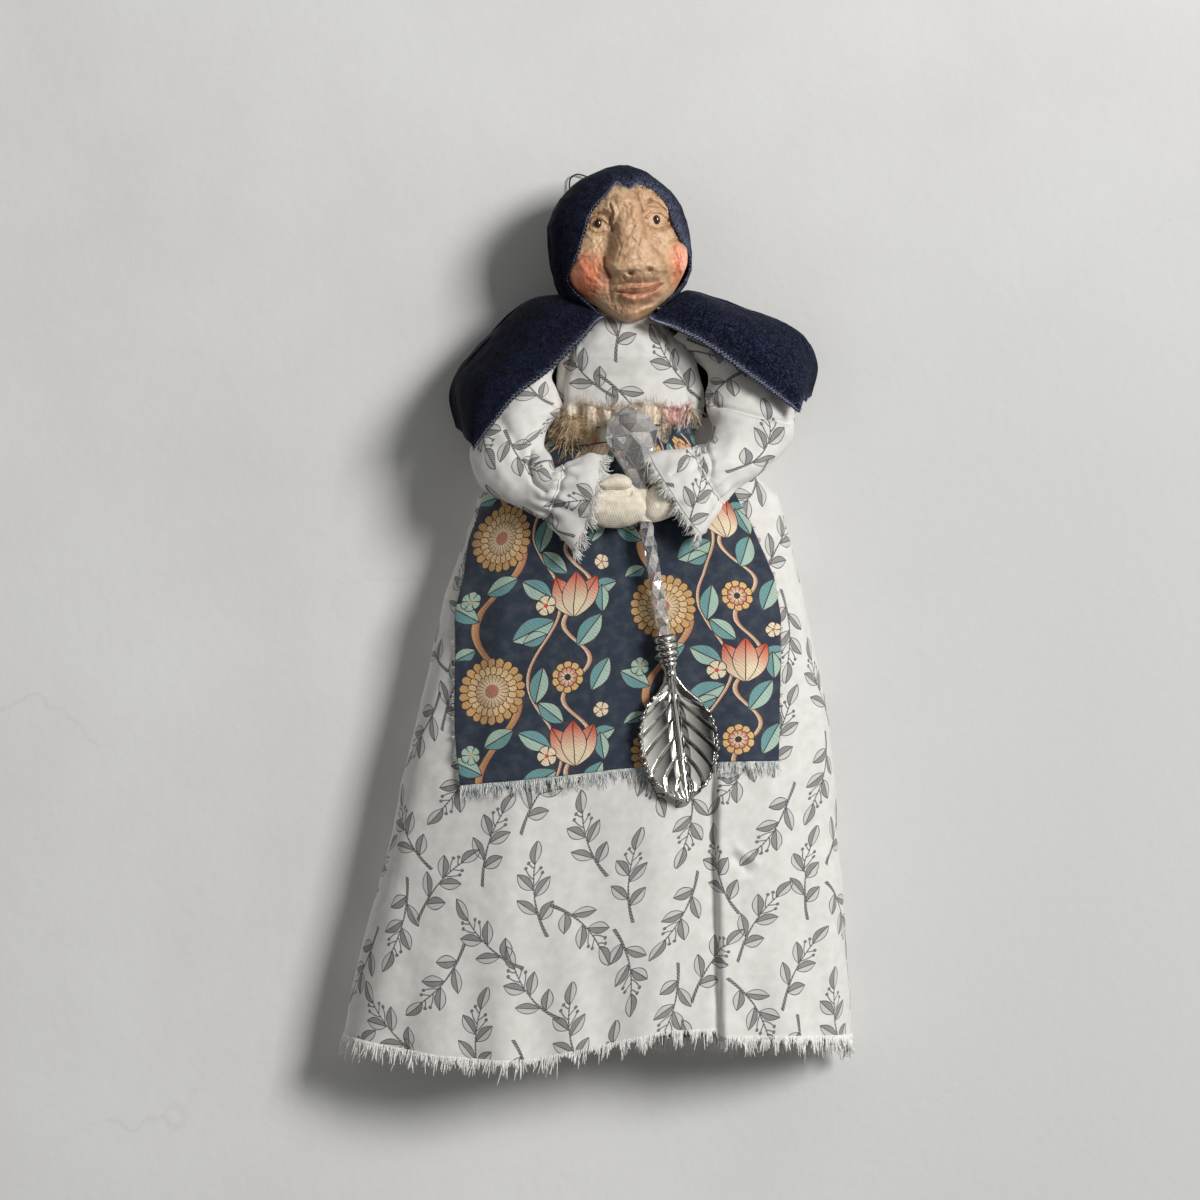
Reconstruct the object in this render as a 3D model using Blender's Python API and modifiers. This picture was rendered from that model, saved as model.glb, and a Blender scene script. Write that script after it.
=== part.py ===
# Apple head doll in a hooded cape, dress and apron, holding a leaf spoon.
# Metres, +Z up. The doll faces -Y, y = 0 is the wall behind it, and the origin is the nail that its loop hangs on.
import math

import bmesh
import bpy
import numpy as np
from mathutils import Matrix, Vector

# Cloth, gaps and seats
FIT = 0.0003
DRESS_CLOTH = 0.0008
APRON_CLOTH = 0.0006
CAPE_CLOTH = 0.001
CUT_OVERRUN = 0.03

# Head, hood and neck
NECK_Y = -0.023
SEAM_Z = -0.0460
HOOD_TOP_Z = 0.0017
HOOD_X = -0.0017
HOOD_Y = -0.0255
HOOD_WIDTH = 0.0486
HOOD_DEPTH = 0.043
HEAD_LOOSE = 0.0007
HEAD_BOTTOM_Z = -0.0500
BEAD_RADIUS = 0.0017
BEAD_SUNK = 0.0009
EYE_SPACING = 0.0195
EYE_LINE_Z = -0.0174
EYE_MIDDLE_X = 0.0007
DOWEL_RADIUS = 0.003
DOWEL_RISE = 0.018
DOWEL_SINK = 0.026
DOWEL_RUNNING = 0.0003

# Stuffed body and dress
TORSO_TOP_Z = HEAD_BOTTOM_Z - FIT
TORSO_LENGTH = 0.0720
TORSO_WIDTH = 0.042
TORSO_DEPTH = 0.0245
TORSO_Y = -0.0175
BODICE_EASE = 0.0009
WAIST_Z = -0.0875
WAIST_TIE_RADIUS = 0.0005
SKIRT_LENGTH = 0.2095
HEM_WIDTH = 0.1712
HEM_SWING = 0.0098
SKIRT_DEPTH = 0.043
SKIRT_SIDE_Y = -0.012
WAIST_BACK_Y = -0.0024
HEM_FOLD = 0.0026
UNDERLAP_DEPTH = 0.003
OVERLAP_HEIGHT = 0.0015
APRON_LEFT = 0.0573
APRON_RIGHT = 0.0522
APRON_LENGTH = 0.1125
APRON_HEM_RISE = 0.0075
APRON_EASE = 0.0004
FRILL_HEIGHT = 0.0085
FRILL_WIDTH = 0.049
FRILL_WAVE = 0.0009

# Capelet, from the neck seam down
CAPE_REACH = 0.0655
CAPE_DROP = 0.0485
CAPE_DEPTH = 0.0345

# Arms
ELBOW_Y = -0.0285
ELBOW_Z = -0.0905
ELBOW_BALL = 0.0095
ELBOW_HOLE = 0.005
LEFT_ELBOW_X = -0.042
RIGHT_ELBOW_X = 0.0455
SHOULDER_X = 0.0165
SHOULDER_Y = -0.0185
SHOULDER_Z = -0.0590
SLEEVE_WIDTH = 0.025
SLEEVE_DEPTH = 0.0205
WRIST_WIDTH = 0.0086
CUFF_HEIGHT = 0.031
CUFF_DEPTH = 0.0155
WIRE_RADIUS = 0.0006
WRIST_THREAD = 0.0004

# Hands and spoon
SPOON_X = 0.0058
SPOON_REST = 0.0037505
SPOON_Z = -0.1129
SPOON_TILT = 0.165
SPOON_RUNNING = 0.0004
HAND_HEIGHT = 0.0128
HAND_DEPTH = 0.0115
LEFT_HAND_LENGTH = 0.0235
RIGHT_HAND_LENGTH = 0.0175
THUMB_LENGTH = 0.0085
THUMB_HEIGHT = 0.0062
THUMB_X = -0.0034
THUMB_RISE = 0.0072
FINIAL_WIDTH = 0.0179
FINIAL_DEPTH = 0.0125
FINIAL_HEIGHT = 0.0252
FINIAL_SEAT = 0.0069
ROD_RADIUS = 0.0023
ROD_LENGTH = 0.0505
FERRULE_RADIUS = 0.0040
FERRULE_LENGTH = 0.0132
FERRULE_RIBS = 4
FERRULE_RIB_RISE = 0.0007
FERRULE_INSERT = 0.006
TANG_RADIUS = 0.0018
TANG_LENGTH = 0.0035
LEAF_LENGTH = 0.0420
LEAF_WIDTH = 0.0262
LEAF_DEPTH = 0.0036
LEAF_METAL = 0.001

# Hanging loop of waxed cord
LOOP_RADIUS = 0.00026
LOOP_POINTS = (
    (-0.0105, -0.00192, -0.0550),
    (-0.0107, -0.0018, -0.0500),
    (-0.0125, -0.0011, -0.0400),
    (-0.0150, -0.0009, -0.0280),
    (-0.0172, -0.0008, -0.0160),
    (-0.0185, -0.0008, -0.0080),
    (-0.0188, -0.0008, -0.0035),
    (-0.0182, -0.0008, -0.0012),
    (-0.0164, -0.0008, -0.0001),
    (-0.0146, -0.0008, -0.0003),
    (-0.0112, -0.0008, -0.0012),
    (-0.0050, -0.0008, -0.0008),
    (0.0000, -0.0008, -0.0004),
    (0.0048, -0.0008, 0.0004),
    (0.0076, -0.0008, 0.0003),
    (0.0084, -0.0008, -0.0012),
    (0.0076, -0.0008, -0.0080),
    (0.0070, -0.0008, -0.0200),
    (0.0078, -0.0009, -0.0320),
    (0.0085, -0.0011, -0.0410),
    (0.0089, -0.0017, -0.0500),
    (0.0090, -0.00173, -0.0550),
)
LOOP_STEPS = 2

parts = None
cutters = None


def clear_scene():
    for thing in list(bpy.data.objects):
        bpy.data.objects.remove(thing, do_unlink=True)


def new_collection(name):
    collection = bpy.data.collections.new(name)
    bpy.context.scene.collection.children.link(collection)
    return collection


def finish(thing, colour, roughness, metallic=0.0):
    material = bpy.data.materials.new(thing.name + "_finish")
    material.use_nodes = True
    shader = material.node_tree.nodes["Principled BSDF"]
    shader.inputs["Base Color"].default_value = (*colour, 1.0)
    shader.inputs["Roughness"].default_value = roughness
    shader.inputs["Metallic"].default_value = metallic
    thing.data.materials.clear()
    thing.data.materials.append(material)


def add_mesh(name, bm, collection=None):
    mesh = bpy.data.meshes.new(name)
    bm.to_mesh(mesh)
    bm.free()
    mesh.shade_smooth()
    thing = bpy.data.objects.new(name, mesh)
    (collection or parts).objects.link(thing)
    return thing


def join_rows(bm, rows, around):
    count = len(rows[0])
    last = count if around else count - 1
    for lower, upper in zip(rows, rows[1:]):
        for i in range(last):
            j = (i + 1) % count
            bm.faces.new((lower[i], lower[j], upper[j], upper[i]))


def loft(name, rings, capped=True, collection=None):
    """A skin over closed rings of points, with or without flat ends."""
    bm = bmesh.new()
    rows = [[bm.verts.new(point) for point in ring] for ring in rings]
    join_rows(bm, rows, True)
    if capped:
        bm.faces.new(rows[0])
        bm.faces.new(rows[-1])
    bmesh.ops.recalc_face_normals(bm, faces=bm.faces)
    return add_mesh(name, bm, collection)


def sheet(name, rows, collection=None):
    """An open cloth sheet over rows of points."""
    bm = bmesh.new()
    join_rows(bm, [[bm.verts.new(point) for point in row] for row in rows], False)
    return add_mesh(name, bm, collection)


def thicken(thing, thickness, side=0.0):
    solidify = thing.modifiers.new("cloth", "SOLIDIFY")
    solidify.thickness = thickness
    solidify.offset = side
    solidify.use_even_offset = True
    return thing


def smooth_cage(thing, levels):
    subsurf = thing.modifiers.new("soft", "SUBSURF")
    subsurf.levels = levels
    subsurf.render_levels = levels
    return thing


def as_cutter(thing):
    thing.hide_render = True
    thing.display_type = "WIRE"
    for collection in list(thing.users_collection):
        collection.objects.unlink(thing)
    cutters.objects.link(thing)
    return thing


def cut(thing, cutter, operation="DIFFERENCE"):
    boolean = thing.modifiers.new("cut", "BOOLEAN")
    boolean.operation = operation
    boolean.solver = "EXACT"
    boolean.object = cutter
    return thing


def smooth_path(points, steps):
    """Points of a smooth curve through the given ones."""
    ends = [points[0], *points, points[-1]]
    knots = [Vector(point) for point in ends]
    found = []
    for a, b, c, d in zip(knots, knots[1:], knots[2:], knots[3:]):
        for step in range(steps):
            t = step / steps
            bend = (2 * a - 5 * b + 4 * c - d) * t * t
            turn = (3 * b - a - 3 * c + d) * t * t * t
            found.append((2 * b + (c - a) * t + bend + turn) / 2)
    found.append(knots[-1])
    return found


def tube(name, points, radius, closed=False, resolution=2):
    """A wire, thread or cord along points, as a mesh with welded caps."""
    curve = bpy.data.curves.new(name, "CURVE")
    curve.dimensions = "3D"
    curve.bevel_depth = radius
    curve.bevel_resolution = resolution
    curve.use_fill_caps = not closed
    spline = curve.splines.new("POLY")
    spline.points.add(len(points) - 1)
    for knot, point in zip(spline.points, points):
        knot.co = (*point, 1.0)
    spline.use_cyclic_u = closed
    rail = bpy.data.objects.new(name + "_rail", curve)
    parts.objects.link(rail)
    bpy.context.view_layer.update()
    evaluated = rail.evaluated_get(bpy.context.evaluated_depsgraph_get())
    mesh = bpy.data.meshes.new_from_object(evaluated)
    bpy.data.objects.remove(rail, do_unlink=True)
    bm = bmesh.new()
    bm.from_mesh(mesh)
    bmesh.ops.remove_doubles(bm, verts=bm.verts, dist=radius / 100)
    bmesh.ops.recalc_face_normals(bm, faces=bm.faces)
    bpy.data.meshes.remove(mesh)
    return add_mesh(name, bm)


def rod_between(name, start, end, radius, sides):
    """A straight round bar from start to end."""
    bm = bmesh.new()
    along = Vector(end) - Vector(start)
    turn = along.to_track_quat("Z", "Y").to_matrix().to_4x4()
    middle = (Vector(start) + Vector(end)) / 2
    bmesh.ops.create_cone(
        bm,
        cap_ends=True,
        segments=sides,
        radius1=radius,
        radius2=radius,
        depth=along.length,
        matrix=Matrix.Translation(middle) @ turn,
    )
    return add_mesh(name, bm)


def ball(name, centre, radius, segments, stretch=(1.0, 1.0, 1.0)):
    bm = bmesh.new()
    size = Matrix.Diagonal((*(radius * s for s in stretch), 1.0))
    place = Matrix.Translation(centre) @ size
    bmesh.ops.create_uvsphere(bm, u_segments=segments, v_segments=segments // 2, radius=1.0, matrix=place)
    return add_mesh(name, bm)


def between(share, shares, values):
    return float(np.interp(share, shares, values))


def oval(centre, half_width, half_depth, z, count, power=2.0):
    """A level ring, wider in the flanks as power grows."""
    ring = []
    for i in range(count):
        angle = 2 * math.pi * i / count
        c, s = math.cos(angle), math.sin(angle)
        x = math.copysign(abs(c) ** (2 / power), c)
        y = math.copysign(abs(s) ** (2 / power), s)
        ring.append((centre[0] + half_width * x, centre[1] + half_depth * y, z))
    return ring


# The head: an egg with the face raised on its front

HEAD_HALF_WIDTH = HOOD_WIDTH / 2 - CAPE_CLOTH - HEAD_LOOSE
HEAD_HALF_DEPTH = HOOD_DEPTH / 2 - CAPE_CLOTH - HEAD_LOOSE
HEAD_TOP_Z = HOOD_TOP_Z - CAPE_CLOTH - HEAD_LOOSE
HEAD_HEIGHT = HEAD_TOP_Z - HEAD_BOTTOM_Z
HEAD_Z = (HEAD_TOP_Z + HEAD_BOTTOM_Z) / 2
HEAD_RINGS = 18
HEAD_SIDES = 26

# Each feature: place across and up from the head's centre, spread across and up, and rise, as shares of its size
FACE_SHARES = (
    ("brow", 0.08, 0.27, 0.36, 0.10, 0.045),
    ("nose_bridge", 0.09, 0.10, 0.09, 0.17, 0.13),
    ("nose_ridge", 0.13, -0.04, 0.10, 0.10, 0.17),
    ("nose_tip", 0.16, -0.135, 0.13, 0.062, 0.22),
    ("left_cheek", -0.25, -0.12, 0.21, 0.17, 0.10),
    ("right_cheek", 0.43, -0.06, 0.17, 0.16, 0.12),
    ("upper_lip", 0.16, -0.225, 0.17, 0.035, 0.115),
    ("lower_lip", 0.16, -0.285, 0.15, 0.035, 0.115),
    ("chin", 0.11, -0.40, 0.18, 0.085, 0.16),
    ("left_socket", -0.17, 0.14, 0.11, 0.065, -0.035),
    ("right_socket", 0.27, 0.15, 0.10, 0.065, -0.035),
)
JAW_NARROWING_SHARE = 0.16
JAW_FORWARD_SHARE = 0.17
FACE_WRAP_SHARE = 2.2


def face_rise(x, z):
    rise = 0.0
    for _, across, up, wide, tall, lift in FACE_SHARES:
        dx = (x - HOOD_X) / (2 * HEAD_HALF_WIDTH) - across
        dz = (z - HEAD_Z) / HEAD_HEIGHT - up
        rise += lift * math.exp(-((dx / wide) ** 2) - (dz / tall) ** 2)
    return rise * HEAD_HALF_DEPTH


def head_point(latitude, longitude):
    up = math.sin(latitude)
    across = math.cos(latitude) * math.sin(longitude)
    front = math.cos(latitude) * math.cos(longitude)
    low = max(0.0, -up)
    x = HOOD_X + HEAD_HALF_WIDTH * (across * (1 - JAW_NARROWING_SHARE * low * low))
    x += JAW_FORWARD_SHARE * HEAD_HALF_WIDTH * low * low
    z = HEAD_Z + up * HEAD_HEIGHT / 2
    y = HOOD_Y - HEAD_HALF_DEPTH * front
    y -= JAW_FORWARD_SHARE * HEAD_HALF_DEPTH * low * low
    facing = min(1.0, max(0.0, front * FACE_WRAP_SHARE))
    return Vector((x, y - facing * face_rise(x, z), z))


def face_front(x, z):
    """The y of the face in front of x and z."""
    up = (z - HEAD_Z) / (HEAD_HEIGHT / 2)
    across = (x - HOOD_X) / HEAD_HALF_WIDTH
    front = math.sqrt(max(0.0, 1 - up * up - across * across))
    return HOOD_Y - HEAD_HALF_DEPTH * front - face_rise(x, z)


def make_head(axis):
    rings = []
    for row in range(1, HEAD_RINGS):
        latitude = math.pi * (row / HEAD_RINGS - 0.5)
        rings.append([head_point(latitude, 2 * math.pi * i / HEAD_SIDES) for i in range(HEAD_SIDES)])
    head = loft("apple_head", rings)
    bore_end = SEAM_Z + DOWEL_RISE + FIT
    bore = rod_between(
        "dowel_bore",
        (0, NECK_Y, SEAM_Z - CUT_OVERRUN),
        (0, NECK_Y, bore_end),
        DOWEL_RADIUS + DOWEL_RUNNING,
        20,
    )
    cut(head, as_cutter(bore))
    finish(head, (0.58, 0.36, 0.21), 0.55)
    head.parent = axis
    for side, name in ((-1, "eye_bead_left"), (1, "eye_bead_right")):
        x = EYE_MIDDLE_X + side * EYE_SPACING / 2
        place = (x, face_front(x, EYE_LINE_Z) + BEAD_SUNK, EYE_LINE_Z)
        bead = ball(name, place, BEAD_RADIUS, 12)
        finish(bead, (0.03, 0.015, 0.01), 0.08)
        bead.parent = axis
        cut(head, as_cutter(ball(name + "_socket", place, BEAD_RADIUS + FIT, 12)))


# The hood: an egg of cloth over the head, open at the face and the neck

HOOD_HEIGHT_SHARES = (0.0, 0.08, 0.2, 0.36, 0.52, 0.66, 0.77, 0.86, 0.93, 0.975, 0.995)
HOOD_GIRTH_SHARES = (0.84, 0.92, 0.97, 1.0, 0.995, 0.94, 0.845, 0.71, 0.52, 0.31, 0.12)
# Half of the face opening and the other, round from the notch above the brow, from the hood's centre
OPENING_SHARES = (
    (0.14, 0.40),
    (0.46, 0.33),
    (0.72, 0.20),
    (0.92, -0.02),
    (0.965, -0.12),
    (0.90, -0.26),
    (0.52, -0.46),
    (0.40, -0.70),
    (-0.32, -0.70),
    (-0.36, -0.46),
    (-0.66, -0.22),
    (-0.75, -0.07),
    (-0.66, 0.08),
    (-0.42, 0.24),
    (-0.12, 0.36),
)
OPENING_DEPTH_SHARE = 0.02


def make_hood(axis):
    height = HOOD_TOP_Z - SEAM_Z - FIT
    rings = []
    for up, girth in zip(HOOD_HEIGHT_SHARES, HOOD_GIRTH_SHARES):
        z = SEAM_Z + FIT + up * height
        rings.append(oval((HOOD_X, HOOD_Y), girth * HOOD_WIDTH / 2, girth * HOOD_DEPTH / 2, z, 26))
    bm = bmesh.new()
    rows = [[bm.verts.new(point) for point in ring] for ring in rings]
    join_rows(bm, rows, True)
    bm.faces.new(rows[-1])
    hood = thicken(add_mesh("hood", bm), CAPE_CLOTH, -1.0)
    middle = SEAM_Z + height / 2
    outline = [(HOOD_X + x * HOOD_WIDTH / 2, middle + z * height) for x, z in OPENING_SHARES]
    back = HOOD_Y + OPENING_DEPTH_SHARE * HOOD_DEPTH
    ends = (HOOD_Y - HOOD_DEPTH - CUT_OVERRUN, back)
    opening = loft("face_opening", [[(x, y, z) for x, z in outline] for y in ends])
    cut(hood, as_cutter(opening))
    finish(hood, (0.025, 0.028, 0.06), 0.9)
    hood.parent = axis


# The stuffed body, its neck dowel and the bodice drawn over it

BODY_POWER = 2.3
TORSO_DOWN_SHARES = (0.0, 0.06, 0.12, 0.18, 0.27, 0.40, 0.54, 0.68, 0.84, 0.94, 1.0)
TORSO_GIRTH_SHARES = (0.36, 0.42, 0.70, 0.90, 1.0, 1.0, 0.95, 0.98, 1.0, 0.84, 0.5)


def body_ring(z, lift, count):
    down = (TORSO_TOP_Z - z) / TORSO_LENGTH
    girth = between(down, TORSO_DOWN_SHARES, TORSO_GIRTH_SHARES)
    half_width = girth * TORSO_WIDTH / 2 + lift
    half_depth = girth * TORSO_DEPTH / 2 + lift
    neck = max(0.0, 1 - down / TORSO_DOWN_SHARES[4])
    y = TORSO_Y + (NECK_Y - TORSO_Y) * neck
    return oval((0, y), half_width, half_depth, z, count, BODY_POWER)


def body_levels(top, bottom):
    """Heights where the stuffed body changes its girth, between two others."""
    changes = [TORSO_TOP_Z - down * TORSO_LENGTH for down in TORSO_DOWN_SHARES]
    return [top, *(z for z in changes if bottom < z < top), bottom]


BODICE_LIFT = FIT + DRESS_CLOTH + BODICE_EASE


def make_body():
    levels = [TORSO_TOP_Z - down * TORSO_LENGTH for down in TORSO_DOWN_SHARES]
    torso = loft("torso", [body_ring(z, 0.0, 20) for z in levels])
    dowel_bottom = TORSO_TOP_Z - DOWEL_SINK
    dowel_top = SEAM_Z + DOWEL_RISE
    bore = rod_between(
        "torso_bore",
        (0, NECK_Y, dowel_bottom - FIT),
        (0, NECK_Y, TORSO_TOP_Z + CUT_OVERRUN),
        DOWEL_RADIUS + FIT,
        20,
    )
    cut(torso, as_cutter(bore))
    finish(torso, (0.72, 0.64, 0.50), 0.9)
    dowel = rod_between("neck_dowel", (0, NECK_Y, dowel_bottom), (0, NECK_Y, dowel_top), DOWEL_RADIUS, 20)
    finish(dowel, (0.60, 0.42, 0.24), 0.6)
    top = TORSO_TOP_Z - DRESS_CLOTH
    rings = [body_ring(z, BODICE_LIFT, 20) for z in body_levels(top, WAIST_Z + FIT)]
    bodice = thicken(loft("bodice", rings, capped=False), DRESS_CLOTH, -1.0)
    finish(bodice, (0.78, 0.75, 0.70), 0.85)
    return torso, bodice


# The skirt: gathered at the waist, flat against the wall, folded in front

SKIRT_DOWN_SHARES = (0.0, 0.05, 0.11, 0.18, 0.28, 0.47, 0.71, 0.85, 1.0)
SKIRT_WIDTH_SHARES = (0.285, 0.43, 0.575, 0.64, 0.704, 0.803, 0.891, 0.954, 1.0)
SKIRT_SWING_SHARES = (0.0, 0.0, -0.06, -0.05, 0.03, 0.03, 0.46, 0.78, 1.0)
SKIRT_FRONT_SHARES = (0.755, 0.81, 0.85, 0.875, 0.9, 0.935, 0.97, 0.985, 1.0)
SKIRT_BACK_SHARES = (1.0, 0.5, 0.0, 0.0, 0.0, 0.0, 0.0, 0.0, 0.0)
SKIRT_POWER = 2.3
BACK_FLATTENING_SHARE = 1.3
# Each soft fold: place across, spread, and rise at the hem
FOLD_SHARES = ((-0.90, 0.075, 0.46), (-0.45, 0.11, 0.50), (-0.08, 0.10, -0.35), (0.22, 0.09, 0.35), (0.72, 0.08, 0.23))
FOLD_START_SHARE = 0.4
FOLD_FULL_SHARE = 0.7
# The sharp pleat, where the right panel laps over the left one
LAP_DOWN_SHARES = (0.0, 0.50, 0.68, 0.92, 1.0)
LAP_AT_SHARES = (0.455, 0.457, 0.464, 0.485, 0.493)
LAP_START_SHARE = 0.55
LAP_FULL_SHARE = 0.63
LAP_HALF_SHARE = 0.009
UNDERLAP_SPREAD_SHARE = 0.056
OVERLAP_SPREAD_SHARE = 0.094
SKIRT_LEVEL_SHARES = (0.0, 0.05, 0.11, 0.18, 0.28, 0.47, 0.55, 0.63, 0.75, 0.87, 1.0)
# Columns of the skirt's front, from its left edge to the pleat and from the pleat to its right edge
LEFT_PANEL_SHARES = (0, 0.008, 0.03, 0.066, 0.115, 0.18, 0.26, 0.35, 0.45, 0.55, 0.65, 0.74, 0.82, 0.88, 0.925, 0.955, 0.98)
RIGHT_PANEL_SHARES = (0.05, 0.12, 0.22, 0.36, 0.5, 0.64, 0.77, 0.87, 0.945, 0.985, 1.0)
SKIRT_BACK_SIDES = 20


def skirt_size(z):
    down = (WAIST_Z - z) / SKIRT_LENGTH
    half_width = between(down, SKIRT_DOWN_SHARES, SKIRT_WIDTH_SHARES) * HEM_WIDTH / 2
    centre = -between(down, SKIRT_DOWN_SHARES, SKIRT_SWING_SHARES) * HEM_SWING
    front = -between(down, SKIRT_DOWN_SHARES, SKIRT_FRONT_SHARES) * SKIRT_DEPTH
    back = between(down, SKIRT_DOWN_SHARES, SKIRT_BACK_SHARES) * WAIST_BACK_Y
    return down, half_width, centre, front, back


def grown(down, start, full):
    return min(1.0, max(0.0, (down - start) / (full - start)))


def lap_at(down):
    return between(down, LAP_DOWN_SHARES, LAP_AT_SHARES)


def lap_rise(across, down):
    """How far the skirt stands out beside the sharp pleat: below the cloth at its left, above it at its right."""
    off = across - lap_at(down)
    under = -UNDERLAP_DEPTH * math.exp(min(0.0, off + LAP_HALF_SHARE) / UNDERLAP_SPREAD_SHARE)
    over = OVERLAP_HEIGHT * math.exp(-max(0.0, off - LAP_HALF_SHARE) / OVERLAP_SPREAD_SHARE)
    step = grown(off, -LAP_HALF_SHARE, LAP_HALF_SHARE)
    return (under + (over - under) * step) * grown(down, LAP_START_SHARE, LAP_FULL_SHARE)


def skirt_front(x, z):
    """The y of the skirt's outer front at x and z."""
    down, half_width, centre, front, _ = skirt_size(z)
    across = (x - centre) / half_width
    bulge = max(0.0, 1 - abs(across) ** SKIRT_POWER) ** (1 / SKIRT_POWER)
    fall = grown(down, FOLD_START_SHARE, FOLD_FULL_SHARE)
    fold = sum(rise * math.exp(-(((across - at) / wide) ** 2)) for at, wide, rise in FOLD_SHARES)
    out = fold * HEM_FOLD * fall + lap_rise(across, down)
    return SKIRT_SIDE_Y + (front - SKIRT_SIDE_Y) * bulge - out * bulge


def skirt_skin(x, z, lift):
    """A point a little in front of the skirt, square to it."""
    step = FIT
    slope_x = (skirt_front(x + step, z) - skirt_front(x - step, z)) / (2 * step)
    slope_z = (skirt_front(x, z + step) - skirt_front(x, z - step)) / (2 * step)
    outward = Vector((slope_x, -1.0, slope_z)).normalized()
    return Vector((x, skirt_front(x, z), z)) + lift * outward


# Where the leaf comes close to the apron: shares of its length down and of its width across
LEAF_REST_SHARES = ((0.0, 0.0), (0.35, -0.5), (0.35, 0.5), (0.65, -0.5), (0.65, 0.5), (1.0, 0.0))


def spoon_y():
    """The y of the spoon's rod, whose leaf lies in front of the apron."""
    tilt = math.atan(SPOON_TILT)
    apron = []
    for down, across in LEAF_REST_SHARES:
        reach = ROD_LENGTH + FERRULE_LENGTH + down * LEAF_LENGTH
        x = SPOON_X + reach * math.sin(tilt) + across * LEAF_WIDTH
        apron.append(skirt_skin(x, SPOON_Z - reach * math.cos(tilt), APRON_STAND).y)
    return min(apron) - SPOON_REST


def skirt_ring(z):
    down, half_width, centre, _, back = skirt_size(z)
    lap = lap_at(down)
    front = [-1 + share * (1 + lap) for share in LEFT_PANEL_SHARES]
    front += [lap - LAP_HALF_SHARE, lap + LAP_HALF_SHARE]
    front += [lap + share * (1 - lap) for share in RIGHT_PANEL_SHARES]
    ring = []
    for across in front:
        x = centre + half_width * across
        ring.append((x, skirt_front(x, z), z))
    for i in range(1, SKIRT_BACK_SIDES):
        angle = math.pi * i / SKIRT_BACK_SIDES
        c, s = math.cos(angle), math.sin(angle)
        x = centre + half_width * math.copysign(abs(c) ** (2 / SKIRT_POWER), c)
        reach = BACK_FLATTENING_SHARE * abs(s) ** (2 / SKIRT_POWER)
        ring.append((x, min(back, SKIRT_SIDE_Y + (back - SKIRT_SIDE_Y) * reach), z))
    return ring


def make_skirt():
    levels = [WAIST_Z - down * SKIRT_LENGTH for down in SKIRT_LEVEL_SHARES]
    skirt = thicken(loft("skirt", [skirt_ring(z) for z in levels], capped=False), DRESS_CLOTH, -1.0)
    finish(skirt, (0.78, 0.75, 0.70), 0.85)
    return skirt


APRON_DOWN_SHARES = (0.0, 0.12, 0.22, 0.46, 0.56, 1.0)
APRON_LEFT_SHARES = (0.38, 0.62, 0.84, 0.95, 1.0, 0.985)
APRON_RIGHT_SHARES = (0.42, 0.58, 0.72, 0.95, 1.0, 0.995)
APRON_COLUMNS = 18
APRON_ROWS = 10
APRON_STAND = FIT + APRON_EASE + APRON_CLOTH / 2


def make_apron():
    top = WAIST_Z - DRESS_CLOTH
    rows = []
    for row in range(APRON_ROWS + 1):
        down = row / APRON_ROWS
        left = -between(down, APRON_DOWN_SHARES, APRON_LEFT_SHARES) * APRON_LEFT
        right = between(down, APRON_DOWN_SHARES, APRON_RIGHT_SHARES) * APRON_RIGHT
        line = []
        for column in range(APRON_COLUMNS + 1):
            across = column / APRON_COLUMNS
            length = APRON_LENGTH + APRON_HEM_RISE * (1 - across)
            point = skirt_skin(left + (right - left) * across, top - down * length, APRON_STAND)
            line.append(point)
        rows.append(line)
    apron = thicken(sheet("apron", rows), APRON_CLOTH)
    finish(apron, (0.05, 0.09, 0.12), 0.85)


def waist_front(x, lift):
    """The y in front of the bodice at the waist, and in front of the skirt's gathered edge."""
    half_width = TORSO_WIDTH / 2 + lift
    half_depth = TORSO_DEPTH / 2 + lift
    across = min(1.0, abs(x) / half_width)
    return TORSO_Y - half_depth * (1 - across**BODY_POWER) ** (1 / BODY_POWER)


TIE_LIFT = BODICE_LIFT + FIT + WAIST_TIE_RADIUS
FRILL_WAVES = 6
FRILL_STEPS = 5
FRILL_WRAP_SHARE = 0.8


def make_waist():
    z = WAIST_Z + FIT + 2 * WAIST_TIE_RADIUS
    ring = [Vector(point) for point in body_ring(z, TIE_LIFT, 20)]
    tie = tube("waist_tie", ring, WAIST_TIE_RADIUS, closed=True, resolution=1)
    finish(tie, (0.70, 0.66, 0.58), 0.8)
    stand = TIE_LIFT + WAIST_TIE_RADIUS + FIT + FRILL_WAVE + APRON_CLOTH / 2
    rows = []
    for up in (0.0, 0.5, 1.0):
        line = []
        for column in range(FRILL_WAVES * FRILL_STEPS + 1):
            across = column / (FRILL_WAVES * FRILL_STEPS)
            x = FRILL_WIDTH * (across - 0.5)
            wave = FRILL_WAVE * math.sin(2 * math.pi * FRILL_WAVES * across)
            hug = waist_front(x * FRILL_WRAP_SHARE, stand)
            line.append((x, hug - wave, WAIST_Z + FIT + up * FRILL_HEIGHT))
        rows.append(line)
    frill = thicken(sheet("apron_frill", rows), APRON_CLOTH)
    finish(frill, (0.35, 0.28, 0.20), 0.85)


# The capelet: a cage from the front edge over the shoulder to the middle of the back

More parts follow.
